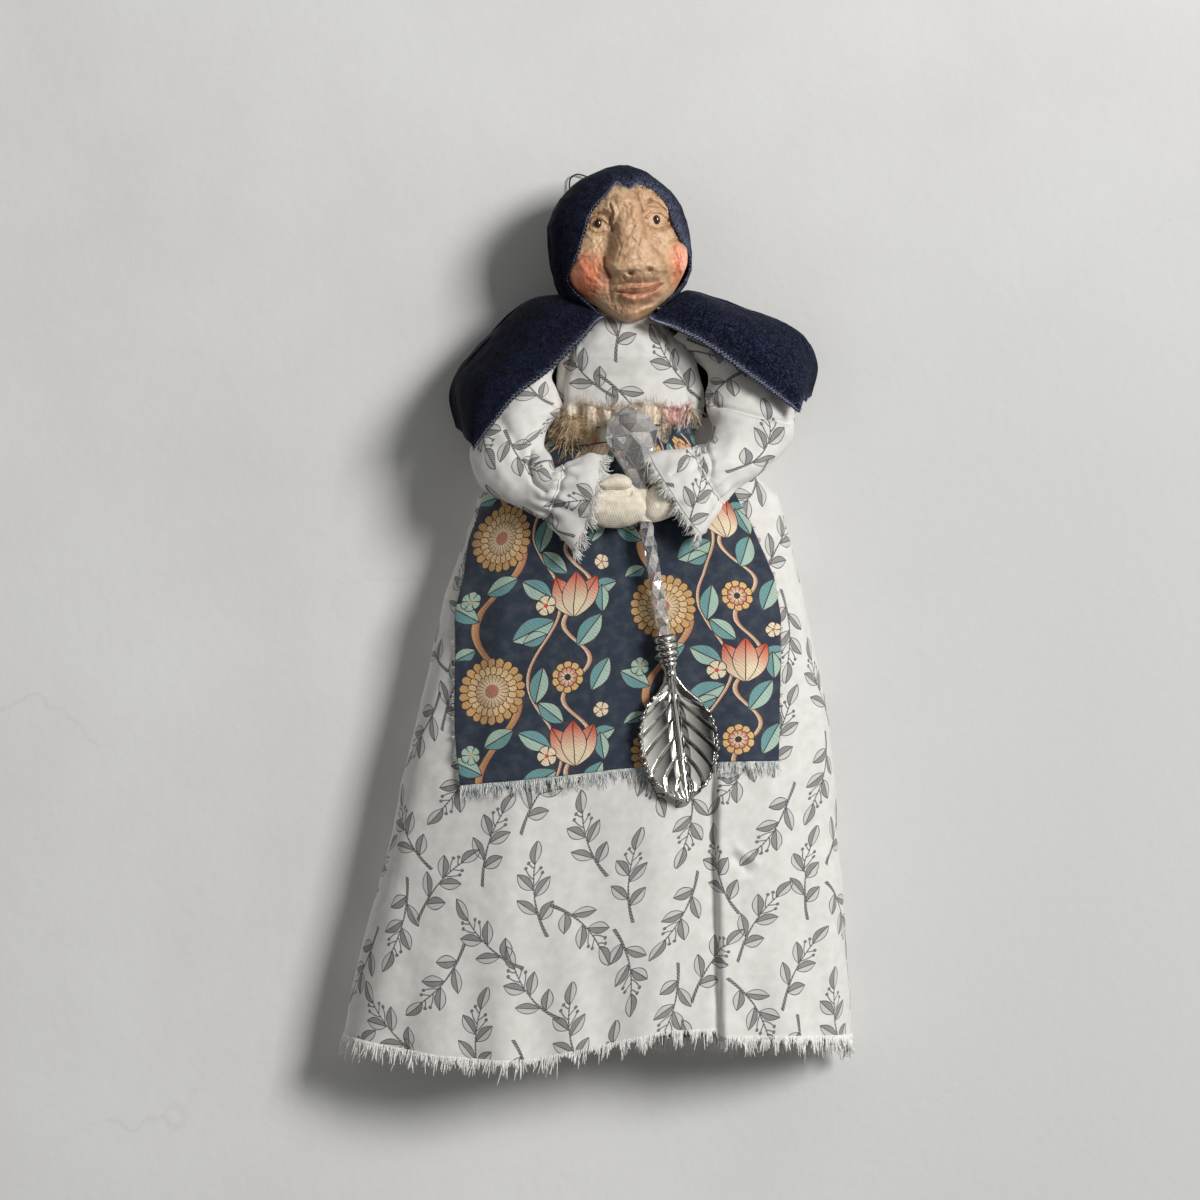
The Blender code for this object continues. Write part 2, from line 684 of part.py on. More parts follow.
NECK_ROW, SHOULDER_ROW, ARM_ROW, HEM_ROW = range(4)
LEFT_WING_SHARES = (
    ((-0.12, -0.95, 0.075), (-0.33, -1.06, 0.385), (-0.62, -1.24, 0.70), (-0.79, -1.20, 1.0)),
    ((-0.20, -0.92, 0.05), (-0.46, -1.04, 0.12), (-0.74, -1.14, 0.47), (-0.87, -1.04, 0.88)),
    ((-0.30, -0.66, 0.04), (-0.55, -0.60, -0.17), (-0.80, -0.56, 0.16), (-0.93, -0.54, 0.60)),
    ((-0.22, -0.16, 0.05), (-0.46, -0.11, 0.05), (-0.72, -0.10, 0.42), (-0.86, -0.14, 0.74)),
)
RIGHT_WING_SHARES = (
    ((0.14, -0.95, 0.095), (0.36, -1.04, 0.275), (0.62, -1.20, 0.50), (0.93, -1.10, 0.75)),
    ((0.21, -0.92, 0.05), (0.50, -1.02, 0.10), (0.78, -1.06, 0.33), (0.98, -0.92, 0.65)),
    ((0.30, -0.66, 0.04), (0.55, -0.60, -0.14), (0.85, -0.55, 0.08), (1.01, -0.50, 0.42)),
    ((0.22, -0.16, 0.05), (0.50, -0.11, 0.06), (0.78, -0.10, 0.34), (0.95, -0.14, 0.60)),
)
BACK_SHARES = ((0.0, -0.10, 0.06), (0.0, -0.035, 0.25), (0.0, -0.03, 0.55), (0.0, -0.03, 0.88))


def cape_point(share):
    across, out, down = share
    return (across * CAPE_REACH, out * CAPE_DEPTH, SEAM_Z - FIT - down * CAPE_DROP)


def make_capelet():
    columns = [*LEFT_WING_SHARES, BACK_SHARES, *reversed(RIGHT_WING_SHARES)]
    rows = [[cape_point(column[row]) for column in columns] for row in range(4)]
    capelet = smooth_cage(sheet("capelet", rows), 2)
    thicken(capelet, CAPE_CLOTH)
    finish(capelet, (0.025, 0.028, 0.06), 0.9)


# Arms: sleeves round a bent wire, with a ball of cloth at each elbow

SLEEVE_SIDES = 14
ARM_OUT_SHARES = (0.0, 0.32, 0.60, 0.83, 0.94, 0.99)
ARM_DOWN_SHARES = (0.0, 0.10, 0.26, 0.47, 0.61, 0.74)
UPPER_GIRTH_SHARES = (0.62, 0.92, 1.0, 0.97, 0.92, 0.90)
BALL_SHARES = (0.94, 0.72, 0.38, 0.0)
FORE_ALONG_SHARES = (0.36, 0.58, 0.8)
FORE_GIRTH_SHARES = (0.66, 0.64, 0.52)
CUFF_ALONG_SHARES = (0.0, 0.1, 0.35, 0.65, 1.0)
CUFF_FLARE_SHARES = (0.0, 0.06, 0.42, 0.76, 1.0)
LEFT_WRIST = (-0.0245, -0.0440, -0.1070)
RIGHT_WRIST = (0.0275, -0.0440, -0.1050)
LEFT_MOUTH = (-0.0135, -0.0455, -0.1120)
RIGHT_MOUTH = (0.0185, -0.0455, -0.1115)


def cross_ring(centre, along, half_width, half_depth, count):
    """A ring round a limb: half_width across the front view, half_depth front to back."""
    across = Vector(along).cross(Vector((0, 1, 0))).normalized()
    out = Vector(along).cross(across).normalized()
    ring = []
    for i in range(count):
        angle = 2 * math.pi * i / count
        ring.append(Vector(centre) + half_width * math.cos(angle) * across + half_depth * math.sin(angle) * out)
    return ring


def limb_rings(points, half_widths, half_depths, count):
    rings = []
    for i, point in enumerate(points):
        ahead = points[min(i + 1, len(points) - 1)]
        behind = points[max(i - 1, 0)]
        rings.append(cross_ring(point, Vector(ahead) - Vector(behind), half_widths[i], half_depths[i], count))
    return rings


def upper_arm_points(elbow_x, elbow_z):
    side = math.copysign(1.0, elbow_x)
    start = Vector((side * SHOULDER_X, SHOULDER_Y, SHOULDER_Z))
    points = []
    for out, down in zip(ARM_OUT_SHARES, ARM_DOWN_SHARES):
        x = start.x + (elbow_x - start.x) * out
        y = start.y + (ELBOW_Y - start.y) * down
        points.append(Vector((x, y, start.z + (elbow_z - start.z) * down)))
    return points


def fore_arm_rings(elbow, wrist, along):
    """Rings of the fore sleeve from its ball at the elbow to the wrist."""
    reach = (elbow - wrist).normalized()
    rings = []
    for share in BALL_SHARES:
        girth = ELBOW_BALL * math.sqrt(1 - share * share)
        rings.append(cross_ring(elbow + reach * ELBOW_BALL * share, reach, girth, girth, SLEEVE_SIDES))
    for share, girth in zip(FORE_ALONG_SHARES, FORE_GIRTH_SHARES):
        centre = elbow + (wrist - elbow) * share
        half_width = girth * SLEEVE_WIDTH / 2
        half_depth = girth * SLEEVE_DEPTH / 2
        rings.append(cross_ring(centre, reach, half_width, half_depth, SLEEVE_SIDES))
    end = WRIST_WIDTH / 2
    rings.append(cross_ring(wrist, -along, end, end, SLEEVE_SIDES))
    return rings


def make_upper_arm(side, elbow, torso, bodice):
    points = upper_arm_points(elbow.x, ELBOW_Z)
    widths = [share * SLEEVE_WIDTH / 2 for share in UPPER_GIRTH_SHARES]
    depths = [share * SLEEVE_DEPTH / 2 for share in UPPER_GIRTH_SHARES]
    sleeve = loft("upper_sleeve_" + side, limb_rings(points, widths, depths, SLEEVE_SIDES), capped=False)
    thicken(sleeve, DRESS_CLOTH, -1.0)
    around = BODICE_LIFT + FIT
    body_rings = [body_ring(z, around, 20) for z in body_levels(TORSO_TOP_Z, WAIST_Z)]
    cut(sleeve, as_cutter(loft("bodice_space_" + side, body_rings)))
    finish(sleeve, (0.78, 0.75, 0.70), 0.85)

    inside = Vector((math.copysign(SHOULDER_X / 2, elbow.x), SHOULDER_Y, SHOULDER_Z))
    down = (points[-1] - elbow).normalized()
    knots = [inside, *points[:-1], elbow + down * WIRE_RADIUS * 3]
    wire = tube("upper_arm_wire_" + side, smooth_path(knots, 2), WIRE_RADIUS)
    finish(wire, (0.30, 0.30, 0.30), 0.4, 1.0)
    deeper = inside + (inside - knots[1]).normalized() * 2 * FIT
    space = tube("upper_wire_space_" + side, [deeper, *smooth_path(knots, 2)[:7]], WIRE_RADIUS + FIT)
    as_cutter(space)
    cut(torso, space)
    cut(bodice, space)
    return down


def make_arm(side, elbow_x, wrist, mouth, torso, bodice, axis):
    elbow = Vector((elbow_x, ELBOW_Y, ELBOW_Z))
    wrist = Vector(wrist)
    mouth = Vector(mouth)
    along = (mouth - wrist).normalized()
    down = make_upper_arm(side, elbow, torso, bodice)

    fore = loft("fore_sleeve_" + side, fore_arm_rings(elbow, wrist, along), capped=False)
    thicken(fore, DRESS_CLOTH, -1.0)
    doorway = rod_between("elbow_hole_" + side, elbow, elbow + down * ELBOW_BALL * 2, ELBOW_HOLE, 16)
    cut(fore, as_cutter(doorway))
    finish(fore, (0.78, 0.75, 0.70), 0.85)
    fore.parent = axis

    tie_ring = cross_ring(wrist + along * (WRIST_THREAD + FIT), along, WRIST_WIDTH / 2, WRIST_WIDTH / 2, 12)
    tie = tube("wrist_tie_" + side, tie_ring, WRIST_THREAD, closed=True, resolution=1)
    finish(tie, (0.70, 0.68, 0.62), 0.7)
    tie.parent = axis

    start = wrist + along * (2 * WRIST_THREAD + 2 * FIT)
    rings = []
    for share, flare in zip(CUFF_ALONG_SHARES, CUFF_FLARE_SHARES):
        half_height = WRIST_WIDTH / 2 + (CUFF_HEIGHT - WRIST_WIDTH) / 2 * flare
        half_depth = WRIST_WIDTH / 2 + (CUFF_DEPTH - WRIST_WIDTH) / 2 * flare
        rings.append(cross_ring(start + (mouth - start) * share, along, half_height, half_depth, SLEEVE_SIDES))
    cuff = thicken(loft("cuff_" + side, rings, capped=False), DRESS_CLOTH, -1.0)
    finish(cuff, (0.78, 0.75, 0.70), 0.85)
    cuff.parent = axis
    return elbow, wrist


# Hands: stuffed mitts, sewn together round the spoon's rod

HAND_ALONG_SHARES = (0.0, 0.1, 0.3, 0.55, 0.78, 0.92, 1.0)
HAND_GIRTH_SHARES = (0.5, 0.62, 0.84, 1.0, 0.98, 0.74, 0.34)


def make_hand(side, length, seam_x, rod_space, axis):
    direction = 1.0 if side == "left" else -1.0
    wrist_x = seam_x - direction * length
    points, widths, depths = [], [], []
    for share, girth in zip(HAND_ALONG_SHARES, HAND_GIRTH_SHARES):
        x = wrist_x + direction * length * share
        points.append((x, spoon_y(), SPOON_Z))
        widths.append(girth * HAND_HEIGHT / 2)
        depths.append(girth * HAND_DEPTH / 2)
    hand = loft("hand_" + side, limb_rings(points, widths, depths, 14))
    if side == "left":
        middle = (THUMB_X, spoon_y(), SPOON_Z + THUMB_RISE)
        stretch = (1.0, HAND_DEPTH / 2 / THUMB_LENGTH, THUMB_HEIGHT / THUMB_LENGTH)
        cut(hand, as_cutter(ball("thumb", middle, THUMB_LENGTH / 2, 12, stretch)), "UNION")
    cut(hand, rod_space)
    finish(hand, (0.76, 0.68, 0.54), 0.92)
    hand.parent = axis
    return hand, Vector((wrist_x, spoon_y(), SPOON_Z))


def make_forearm_wire(side, elbow, wrist, palm, hand, axis):
    inward = (palm - wrist).normalized()
    end = palm + inward * HAND_HEIGHT / 2
    points = smooth_path([elbow, (elbow + wrist) / 2, wrist, palm, end], 2)
    wire = tube("forearm_wire_" + side, points, WIRE_RADIUS)
    finish(wire, (0.30, 0.30, 0.30), 0.4, 1.0)
    wire.parent = axis
    reach = points + [end + inward * FIT]
    cut(hand, as_cutter(tube("forearm_wire_space_" + side, reach[-5:], WIRE_RADIUS + FIT)))


# The spoon, made along its own upright axis and then tilted

FINIAL_UP_SHARES = (0.0, 0.10, 0.24, 0.42, 0.60, 0.76, 0.89, 0.97, 1.0)
FINIAL_GIRTH_SHARES = (0.26, 0.36, 0.56, 0.80, 0.97, 1.0, 0.84, 0.52, 0.28)
LEAF_DOWN_SHARES = (0.0, 0.05, 0.12, 0.24, 0.38, 0.52, 0.66, 0.80, 0.91, 0.975, 1.0)
LEAF_GIRTH_SHARES = (0.16, 0.24, 0.52, 0.86, 0.99, 1.0, 0.93, 0.72, 0.44, 0.18, 0.06)
LEAF_CUP_SHARES = (0.0, 0.05, 0.3, 0.75, 1.0, 1.0, 0.9, 0.65, 0.35, 0.1, 0.0)


def turned(radius_x, radius_y, z, sides):
    ring = []
    for i in range(sides):
        angle = 2 * math.pi * i / sides
        ring.append((radius_x * math.cos(angle), radius_y * math.sin(angle), z))
    return ring


def make_spoon(axis):
    tilt = math.atan(SPOON_TILT)
    place = Matrix.Translation((SPOON_X, spoon_y(), SPOON_Z)) @ Matrix.Rotation(-tilt, 4, "Y")
    rod_bottom = -ROD_LENGTH
    rings = [turned(ROD_RADIUS, ROD_RADIUS, z, 12) for z in (rod_bottom, FINIAL_SEAT - FIT)]
    for up, girth in zip(FINIAL_UP_SHARES, FINIAL_GIRTH_SHARES):
        z = FINIAL_SEAT + up * FINIAL_HEIGHT
        rings.append(turned(girth * FINIAL_WIDTH / 2, girth * FINIAL_DEPTH / 2, z, 12))
    handle = loft("spoon_handle", rings)
    finish(handle, (0.86, 0.88, 0.88), 0.05)

    collar_top = rod_bottom + FERRULE_INSERT
    collar_bottom = collar_top - FERRULE_LENGTH
    bore = ROD_RADIUS + FIT
    floor = rod_bottom - FIT
    tang_bore = TANG_RADIUS + FIT
    profile = [(bore, collar_top), (FERRULE_RADIUS - FERRULE_RIB_RISE, collar_top)]
    for rib in range(FERRULE_RIBS):
        for share, rise in ((0.2, 0.0), (0.4, 1.0), (0.75, 1.0)):
            z = collar_top - FERRULE_LENGTH * (rib + share) / FERRULE_RIBS
            profile.append((FERRULE_RADIUS - FERRULE_RIB_RISE * (1 - rise), z))
    profile += [(FERRULE_RADIUS - FERRULE_RIB_RISE, collar_bottom), (tang_bore, collar_bottom)]
    profile += [(tang_bore, collar_bottom + TANG_LENGTH + FIT), (FIT, collar_bottom + TANG_LENGTH + FIT)]
    profile += [(FIT, floor), (bore, floor)]
    ferrule = lathe("spoon_ferrule", profile, 16)
    finish(ferrule, (0.62, 0.61, 0.58), 0.2, 1.0)

    rows = []
    for down, girth, cup in zip(LEAF_DOWN_SHARES, LEAF_GIRTH_SHARES, LEAF_CUP_SHARES):
        z = collar_bottom - FIT - LEAF_METAL - down * LEAF_LENGTH
        line = []
        for column in range(9):
            across = column / 4 - 1
            x = across * girth * LEAF_WIDTH / 2
            line.append((x, cup * LEAF_DEPTH * (1 - across * across), z))
        rows.append(line)
    bowl = thicken(sheet("spoon_bowl", rows), LEAF_METAL)
    tang_top = collar_bottom + TANG_LENGTH
    tang_foot = collar_bottom - FIT - 2 * LEAF_METAL - LEAF_DOWN_SHARES[1] * LEAF_LENGTH
    tang = rod_between("tang", (0, 0, tang_foot), (0, 0, tang_top), TANG_RADIUS, 12)
    cut(bowl, as_cutter(tang), "UNION")
    finish(bowl, (0.62, 0.61, 0.58), 0.2, 1.0)
    tang.matrix_world = place
    for piece in (handle, ferrule, bowl):
        piece.matrix_world = place
        piece.parent = axis
        piece.matrix_parent_inverse = axis.matrix_world.inverted()

    space = rod_between(
        "rod_space",
        (0, 0, -HAND_HEIGHT),
        (0, 0, HAND_HEIGHT),
        ROD_RADIUS + SPOON_RUNNING,
        20,
    )
    space.matrix_world = place
    return as_cutter(space)


def lathe(name, profile, sides):
    """A turned body round the Z axis from a closed profile of radius and height."""
    bm = bmesh.new()
    rows = []
    for i in range(sides):
        angle = 2 * math.pi * i / sides
        c, s = math.cos(angle), math.sin(angle)
        rows.append([bm.verts.new((r * c, r * s, z)) for r, z in profile])
    join_rows(bm, [*rows, rows[0]], True)
    bmesh.ops.recalc_face_normals(bm, faces=bm.faces)
    return add_mesh(name, bm)


def make_loop():
    loop = tube("hanging_loop", smooth_path(LOOP_POINTS, LOOP_STEPS), LOOP_RADIUS)
    finish(loop, (0.01, 0.01, 0.012), 0.6)


def joint_axis(name, place):
    empty = bpy.data.objects.new(name, None)
    empty.location = place
    parts.objects.link(empty)
    return empty


def settle_children(axes):
    bpy.context.view_layer.update()
    for axis in axes:
        for child in axis.children:
            child.matrix_parent_inverse = axis.matrix_world.inverted()


def main():
    global parts, cutters
    clear_scene()
    parts = new_collection("apple_head_doll")
    cutters = new_collection("cutters")
    head_axis = joint_axis("head_turn_axis", (0, NECK_Y, SEAM_Z))
    arm_axis = joint_axis("arm_lift_axis", (0, ELBOW_Y, ELBOW_Z))
    spoon_axis = joint_axis("spoon_slide_axis", (SPOON_X, spoon_y(), SPOON_Z))
    bpy.context.view_layer.update()
    make_head(head_axis)
    make_hood(head_axis)
    torso, bodice = make_body()
    make_skirt()
    make_apron()
    make_waist()
    make_capelet()
    rod_space = make_spoon(spoon_axis)
    arms = (
        ("left", LEFT_ELBOW_X, LEFT_WRIST, LEFT_MOUTH, LEFT_HAND_LENGTH, SPOON_X - FIT / 2),
        ("right", RIGHT_ELBOW_X, RIGHT_WRIST, RIGHT_MOUTH, RIGHT_HAND_LENGTH, SPOON_X + FIT / 2),
    )
    for side, elbow_x, wrist, mouth, hand_length, seam_x in arms:
        elbow, wrist = make_arm(side, elbow_x, wrist, mouth, torso, bodice, arm_axis)
        hand, palm = make_hand(side, hand_length, seam_x, rod_space, arm_axis)
        make_forearm_wire(side, elbow, wrist, palm, hand, arm_axis)
    make_loop()
    settle_children((head_axis, arm_axis, spoon_axis))


main()
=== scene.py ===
import math

import bmesh
import bpy
import numpy as np
from mathutils import Matrix, Vector, noise


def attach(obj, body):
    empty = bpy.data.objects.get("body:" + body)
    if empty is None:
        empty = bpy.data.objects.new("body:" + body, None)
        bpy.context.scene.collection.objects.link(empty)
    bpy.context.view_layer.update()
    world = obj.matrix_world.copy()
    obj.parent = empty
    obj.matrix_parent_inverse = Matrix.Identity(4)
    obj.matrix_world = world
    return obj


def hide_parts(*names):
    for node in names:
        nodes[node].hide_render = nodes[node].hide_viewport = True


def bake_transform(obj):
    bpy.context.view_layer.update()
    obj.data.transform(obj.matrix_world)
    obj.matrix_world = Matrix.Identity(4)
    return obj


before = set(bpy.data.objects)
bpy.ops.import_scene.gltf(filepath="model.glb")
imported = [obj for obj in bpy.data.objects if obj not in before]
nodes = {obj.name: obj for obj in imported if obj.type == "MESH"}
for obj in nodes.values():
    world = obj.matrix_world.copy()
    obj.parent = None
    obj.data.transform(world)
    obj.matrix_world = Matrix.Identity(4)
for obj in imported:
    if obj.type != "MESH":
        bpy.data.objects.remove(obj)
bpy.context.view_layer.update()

# metres to a picture pixel at planeY, what the picture's middle shows, and how far away the camera is
pixel, viewX, viewZ, planeY, away = 0.000337, -0.0084, -0.1449, -0.020, 2.0


# places in the picture (1200 pixels across) and in the frame


def fromPicture(u, v, y):
    # points in the frame from picture places and a depth in metres
    share = (away + y - planeY) / away
    x, z = viewX + (u - 600) * pixel * share, viewZ - (v - 600) * pixel * share
    return np.stack(np.broadcast_arrays(x, y, z), -1)


def spot(x, y, depth):
    # one picture place with its depth in mm
    return fromPicture(x, y, depth * 0.001)


def toPicture(points):
    share = pixel * (away + points[..., 1] - planeY) / away
    return 600 + (points[..., 0] - viewX) / share, 600 - (points[..., 2] - viewZ) / share


def atLevel(level, line):
    # where a drawn line of (level, place) pairs is at each level
    return np.interp(level, *np.array(line).T)


def lineReach(u, v, line):
    # distance in pixels from each place to a drawn line
    best = np.full(np.shape(u), 1e9)
    for (ax, ay), (bx, by) in zip(line, line[1:]):
        dx, dy = bx - ax, by - ay
        t = np.clip(((u - ax) * dx + (v - ay) * dy) / (dx * dx + dy * dy), 0, 1)
        best = np.minimum(best, np.hypot(u - ax - t * dx, v - ay - t * dy))
    return best


def foldsAt(u, v, folds):
    # folds: (line in picture places, width in pixels, rise in mm)
    return sum(rise * np.exp(-(lineReach(u, v, line) / width) ** 2) for line, width, rise in folds)


def throughPoints(points, count):
    # a smooth line through points, with count points on it
    points = np.asarray(points, float)
    n = len(points)
    t = np.linspace(0, n - 1, count)
    i = np.minimum(t.astype(int), n - 2)
    f = (t - i).reshape((-1,) + (1,) * (points.ndim - 1))
    a, b, c, d = (points[np.clip(i + k, 0, n - 1)] for k in (-1, 0, 1, 2))
    a = np.where((i == 0).reshape(f.shape), 2 * b - c, a)
    d = np.where((i == n - 2).reshape(f.shape), 2 * c - b, d)
    return b + 0.5 * f * (c - a + f * (2 * a - 5 * b + 4 * c - d + f * (3 * (b - c) + d - a)))


def unit(vectors, least=0.0):
    return vectors / (np.linalg.norm(vectors, axis=-1, keepdims=True) + least)


def roughness3d(points, scale, octaves=3, seed=0.0):
    shift = Vector((seed, seed * 1.7, -seed))
    values = [noise.fractal(Vector(p) * scale + shift, 1.0, 2.0, octaves) for p in points.reshape(-1, 3)]
    return np.array(values).reshape(points.shape[:-1])


def gridNormals(grid, aroundRow=False):
    du = (np.roll(grid, -1, 1) - np.roll(grid, 1, 1)) if aroundRow else np.gradient(grid, axis=1)
    return unit(np.cross(np.gradient(grid, axis=0), du), 1e-12)


# pieces and their meshes


def addPiece(name, mesh, smooth=True):
    mesh.validate()
    if smooth:
        mesh.shade_smooth()
    piece = bpy.data.objects.new(name, mesh)
    bpy.context.scene.collection.objects.link(piece)
    return piece


def clothFromGrid(name, grid, uv=None, aroundRow=False, keep=None):
    rows, cols = grid.shape[:2]
    r, c = np.meshgrid(np.arange(rows - 1), np.arange(cols if aroundRow else cols - 1), indexing="ij")
    n = (c + 1) % cols
    quads = np.stack(
        [r * cols + c, r * cols + n, (r + 1) * cols + n, (r + 1) * cols + c], -1
    ).reshape(-1, 4)
    if keep is not None:
        quads = quads[keep.reshape(-1)[quads].all(1)]
    mesh = bpy.data.meshes.new(name)
    mesh.from_pydata(grid.reshape(-1, 3).tolist(), [], quads.tolist())
    if uv is not None:
        corners = uv[np.stack([r, r, r + 1, r + 1], -1), np.stack([c, c + 1, c + 1, c], -1)]
        mesh.uv_layers.new(name="cloth").data.foreach_set("uv", corners.reshape(-1).astype(np.float32))
    return addPiece(name, mesh)


def tubesMesh(name, paths, radii, sides):
    # many thin threads in one mesh: each path is an array of points, with one radius for all or one for
    # each
    verts, faces, start = [], [], 0
    ring = np.arange(sides) * 2 * math.pi / sides
    for path, radius in zip(paths, np.broadcast_to(radii, len(paths))):
        path = np.asarray(path, float)
        along = unit(np.gradient(path, axis=0), 1e-12)
        across = unit(np.cross(along, (0.21, 0.93, 0.3)), 1e-12)
        out = np.cross(along, across)
        circle = across[:, None] * np.cos(ring)[None, :, None] + out[:, None] * np.sin(ring)[None, :, None]
        verts.append((path[:, None] + radius * circle).reshape(-1, 3))
        end = start + (len(path) - 1) * sides
        for row in range(start, end, sides):
            for k in range(sides):
                n = (k + 1) % sides
                faces.append((row + k, row + n, row + sides + n, row + sides + k))
        faces.append(tuple(start + k for k in reversed(range(sides))))
        faces.append(tuple(end + k for k in range(sides)))
        start = end + sides
    mesh = bpy.data.meshes.new(name)
    mesh.from_pydata(np.concatenate(verts).tolist(), [], faces)
    return addPiece(name, mesh)


def mendMesh(piece, change):
    # one change to a mesh, after which its faces all look outward
    bm = bmesh.new()
    bm.from_mesh(piece.data)
    change(bm)
    bmesh.ops.recalc_face_normals(bm, faces=bm.faces)
    bm.to_mesh(piece.data)
    bm.free()
    return piece


def dropLoose(bm):
    bmesh.ops.delete(bm, geom=[v for v in bm.verts if not v.link_faces], context="VERTS")
    bmesh.ops.remove_doubles(bm, verts=bm.verts, dist=0.00002)


def closeEnds(bm):
    bmesh.ops.holes_fill(bm, edges=[e for e in bm.edges if e.is_boundary])


def joinRims(bm):
    bmesh.ops.bridge_loops(bm, edges=[e for e in bm.edges if e.is_boundary])


def thicken(piece, amount):
    cloth = piece.modifiers.new("cloth", "SOLIDIFY")
    cloth.thickness = amount
    cloth.offset = 0.0
    bpy.context.view_layer.update()
    mesh = bpy.data.meshes.new_from_object(piece.evaluated_get(bpy.context.evaluated_depsgraph_get()))
    piece.modifiers.clear()
    piece.data = mesh


def addMask(piece, title, values):
    layer = piece.data.attributes.new(title, "FLOAT", "POINT")
    layer.data.foreach_set("value", np.clip(values, 0, 1).reshape(-1).astype(np.float32))


def coat(piece, material, slot=None):
    piece.data.materials.clear()
    piece.data.materials.append(material)


def settle(piece, material, slot, body, *stands):
    # its finish, the CAD nodes that it stands for, and the body that carries it
    coat(piece, material, slot)
    if stands:
        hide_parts(*stands)
    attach(piece, body)
    return piece


# shader nodes: each helper works in the tree that its first socket belongs to


def newGroup(name, inputs, outputs):
    tree = bpy.data.node_groups.new(name, "ShaderNodeTree")
    for title, kind, value in inputs:
        socket = tree.interface.new_socket(title, in_out="INPUT", socket_type="NodeSocket" + kind)
        if value is not None:
            socket.default_value = value
    for title, kind in outputs:
        tree.interface.new_socket(title, in_out="OUTPUT", socket_type="NodeSocket" + kind)
    return tree, tree.nodes.new("NodeGroupInput").outputs, tree.nodes.new("NodeGroupOutput").inputs


def newMaterial(name, roughness=0.8, metallic=0.0, sheen=0.0, coat=0.0):
    material = bpy.data.materials.new(name)
    material.use_nodes = True
    tree = material.node_tree
    sockets = tree.nodes["Principled BSDF"].inputs
    sockets["Roughness"].default_value = roughness
    sockets["Metallic"].default_value = metallic
    sockets["Sheen Weight"].default_value = sheen
    sockets["Coat Weight"].default_value = coat
    return material, tree, sockets


def feedNode(node, feeds):
    for key, value in feeds.items():
        if isinstance(value, bpy.types.NodeSocket):
            value.id_data.links.new(value, node.inputs[key])
        else:
            node.inputs[key].default_value = value
    return node


def put(tree, kind, feeds=None, **settings):
    node = tree.nodes.new("ShaderNode" + kind)
    for key, value in settings.items():
        setattr(node, key, value)
    return feedNode(node, feeds or {})


def useGroup(tree, group, feeds):
    return feedNode(put(tree, "Group", node_tree=group), feeds).outputs


def calc(operation, a, b=None, clamp=False):
    tree = (a if isinstance(a, bpy.types.NodeSocket) else b).id_data
    feeds = {0: a} if b is None else {0: a, 1: b}
    return put(tree, "Math", feeds, operation=operation, use_clamp=clamp).outputs[0]


def times(a, b):
    return calc("MULTIPLY", a, b)


def plus(a, b):
    return calc("ADD", a, b)


def minus(a, b):
    return calc("SUBTRACT", a, b)


def below(a, b):
    return calc("LESS_THAN", a, b)


def above(a, b):
    return calc("GREATER_THAN", a, b)


def larger(a, b):
    return calc("MAXIMUM", a, b)


def unsigned(a):
    return calc("ABSOLUTE", a)


def vecCalc(operation, a, b=None):
    node = put(a.id_data, "VectorMath", {0: a} if b is None else {0: a, 1: b}, operation=operation)
    return node.outputs["Value" if operation in ("DISTANCE", "DOT_PRODUCT") else 0]


def mixColour(share, a, b):
    return put(share.id_data, "Mix", {"Factor": share, 6: a, 7: b}, data_type="RGBA").outputs[2]


def ramp(value, low, high, toLow=0.0, toHigh=1.0):
    feeds = {0: value, 1: low, 2: high, 3: toLow, 4: toHigh}
    return put(value.id_data, "MapRange", feeds, clamp=True).outputs[0]


def axesOf(place):
    return put(place.id_data, "SeparateXYZ", {0: place}).outputs


def flatPlace(x, y):
    return put(x.id_data, "CombineXYZ", {0: x, 1: y, 2: 0.0}).outputs[0]


def turnedBy(place, angle, centre=(0, 0, 0)):
    feeds = {"Vector": place, "Center": centre, "Angle": angle}
    return put(place.id_data, "VectorRotate", feeds, rotation_type="Z_AXIS").outputs[0]


def noiseAt(place, scale, detail=2.0, roughness=0.5, distortion=0.0):
    feeds = {
        "Vector": place, "Scale": scale, "Detail": detail, "Roughness": roughness, "Distortion": distortion
    }
    return put(place.id_data, "TexNoise", feeds).outputs["Fac"]


def objectPlace(tree):
    return put(tree, "TexCoord").outputs["Object"]


def readMask(tree, title):
    return put(tree, "Attribute", attribute_name=title).outputs["Fac"]


def addBump(sockets, height, strength, distance):
    bump = put(height.id_data, "Bump", {"Height": height, "Strength": strength, "Distance": distance})
    height.id_data.links.new(bump.outputs[0], sockets["Normal"])


def rgb(r, g, b):
    return tuple((v / 255) ** 2.2 for v in (r, g, b)) + (1.0,)


# weave of a plain cotton: two crossing sets of threads, with slubs
weaveGroup, weaveIn, weaveOut = newGroup(
    "plainWeave", [("Place", "Vector", None), ("Pitch", "Float", 0.00042)],
    [("Height", "Float"), ("Fleck", "Float")]
)
threadsIn = calc("DIVIDE", math.pi, weaveIn["Pitch"])
scaled = put(
    weaveGroup, "VectorMath", {0: weaveIn["Place"], "Scale": threadsIn}, operation="SCALE"
).outputs[0]
wobble = put(
    weaveGroup, "TexNoise", {"Vector": weaveIn["Place"], "Scale": 900.0, "Detail": 2.0}
).outputs["Color"]
warp, weft = (unsigned(calc("SINE", part)) for part in axesOf(vecCalc("ADD", scaled, wobble))[:2])
slub = noiseAt(weaveIn["Place"], 260.0, 4.0)
weaveGroup.links.new(times(plus(larger(warp, weft), slub), 0.5), weaveOut["Height"])
weaveGroup.links.new(slub, weaveOut["Fleck"])


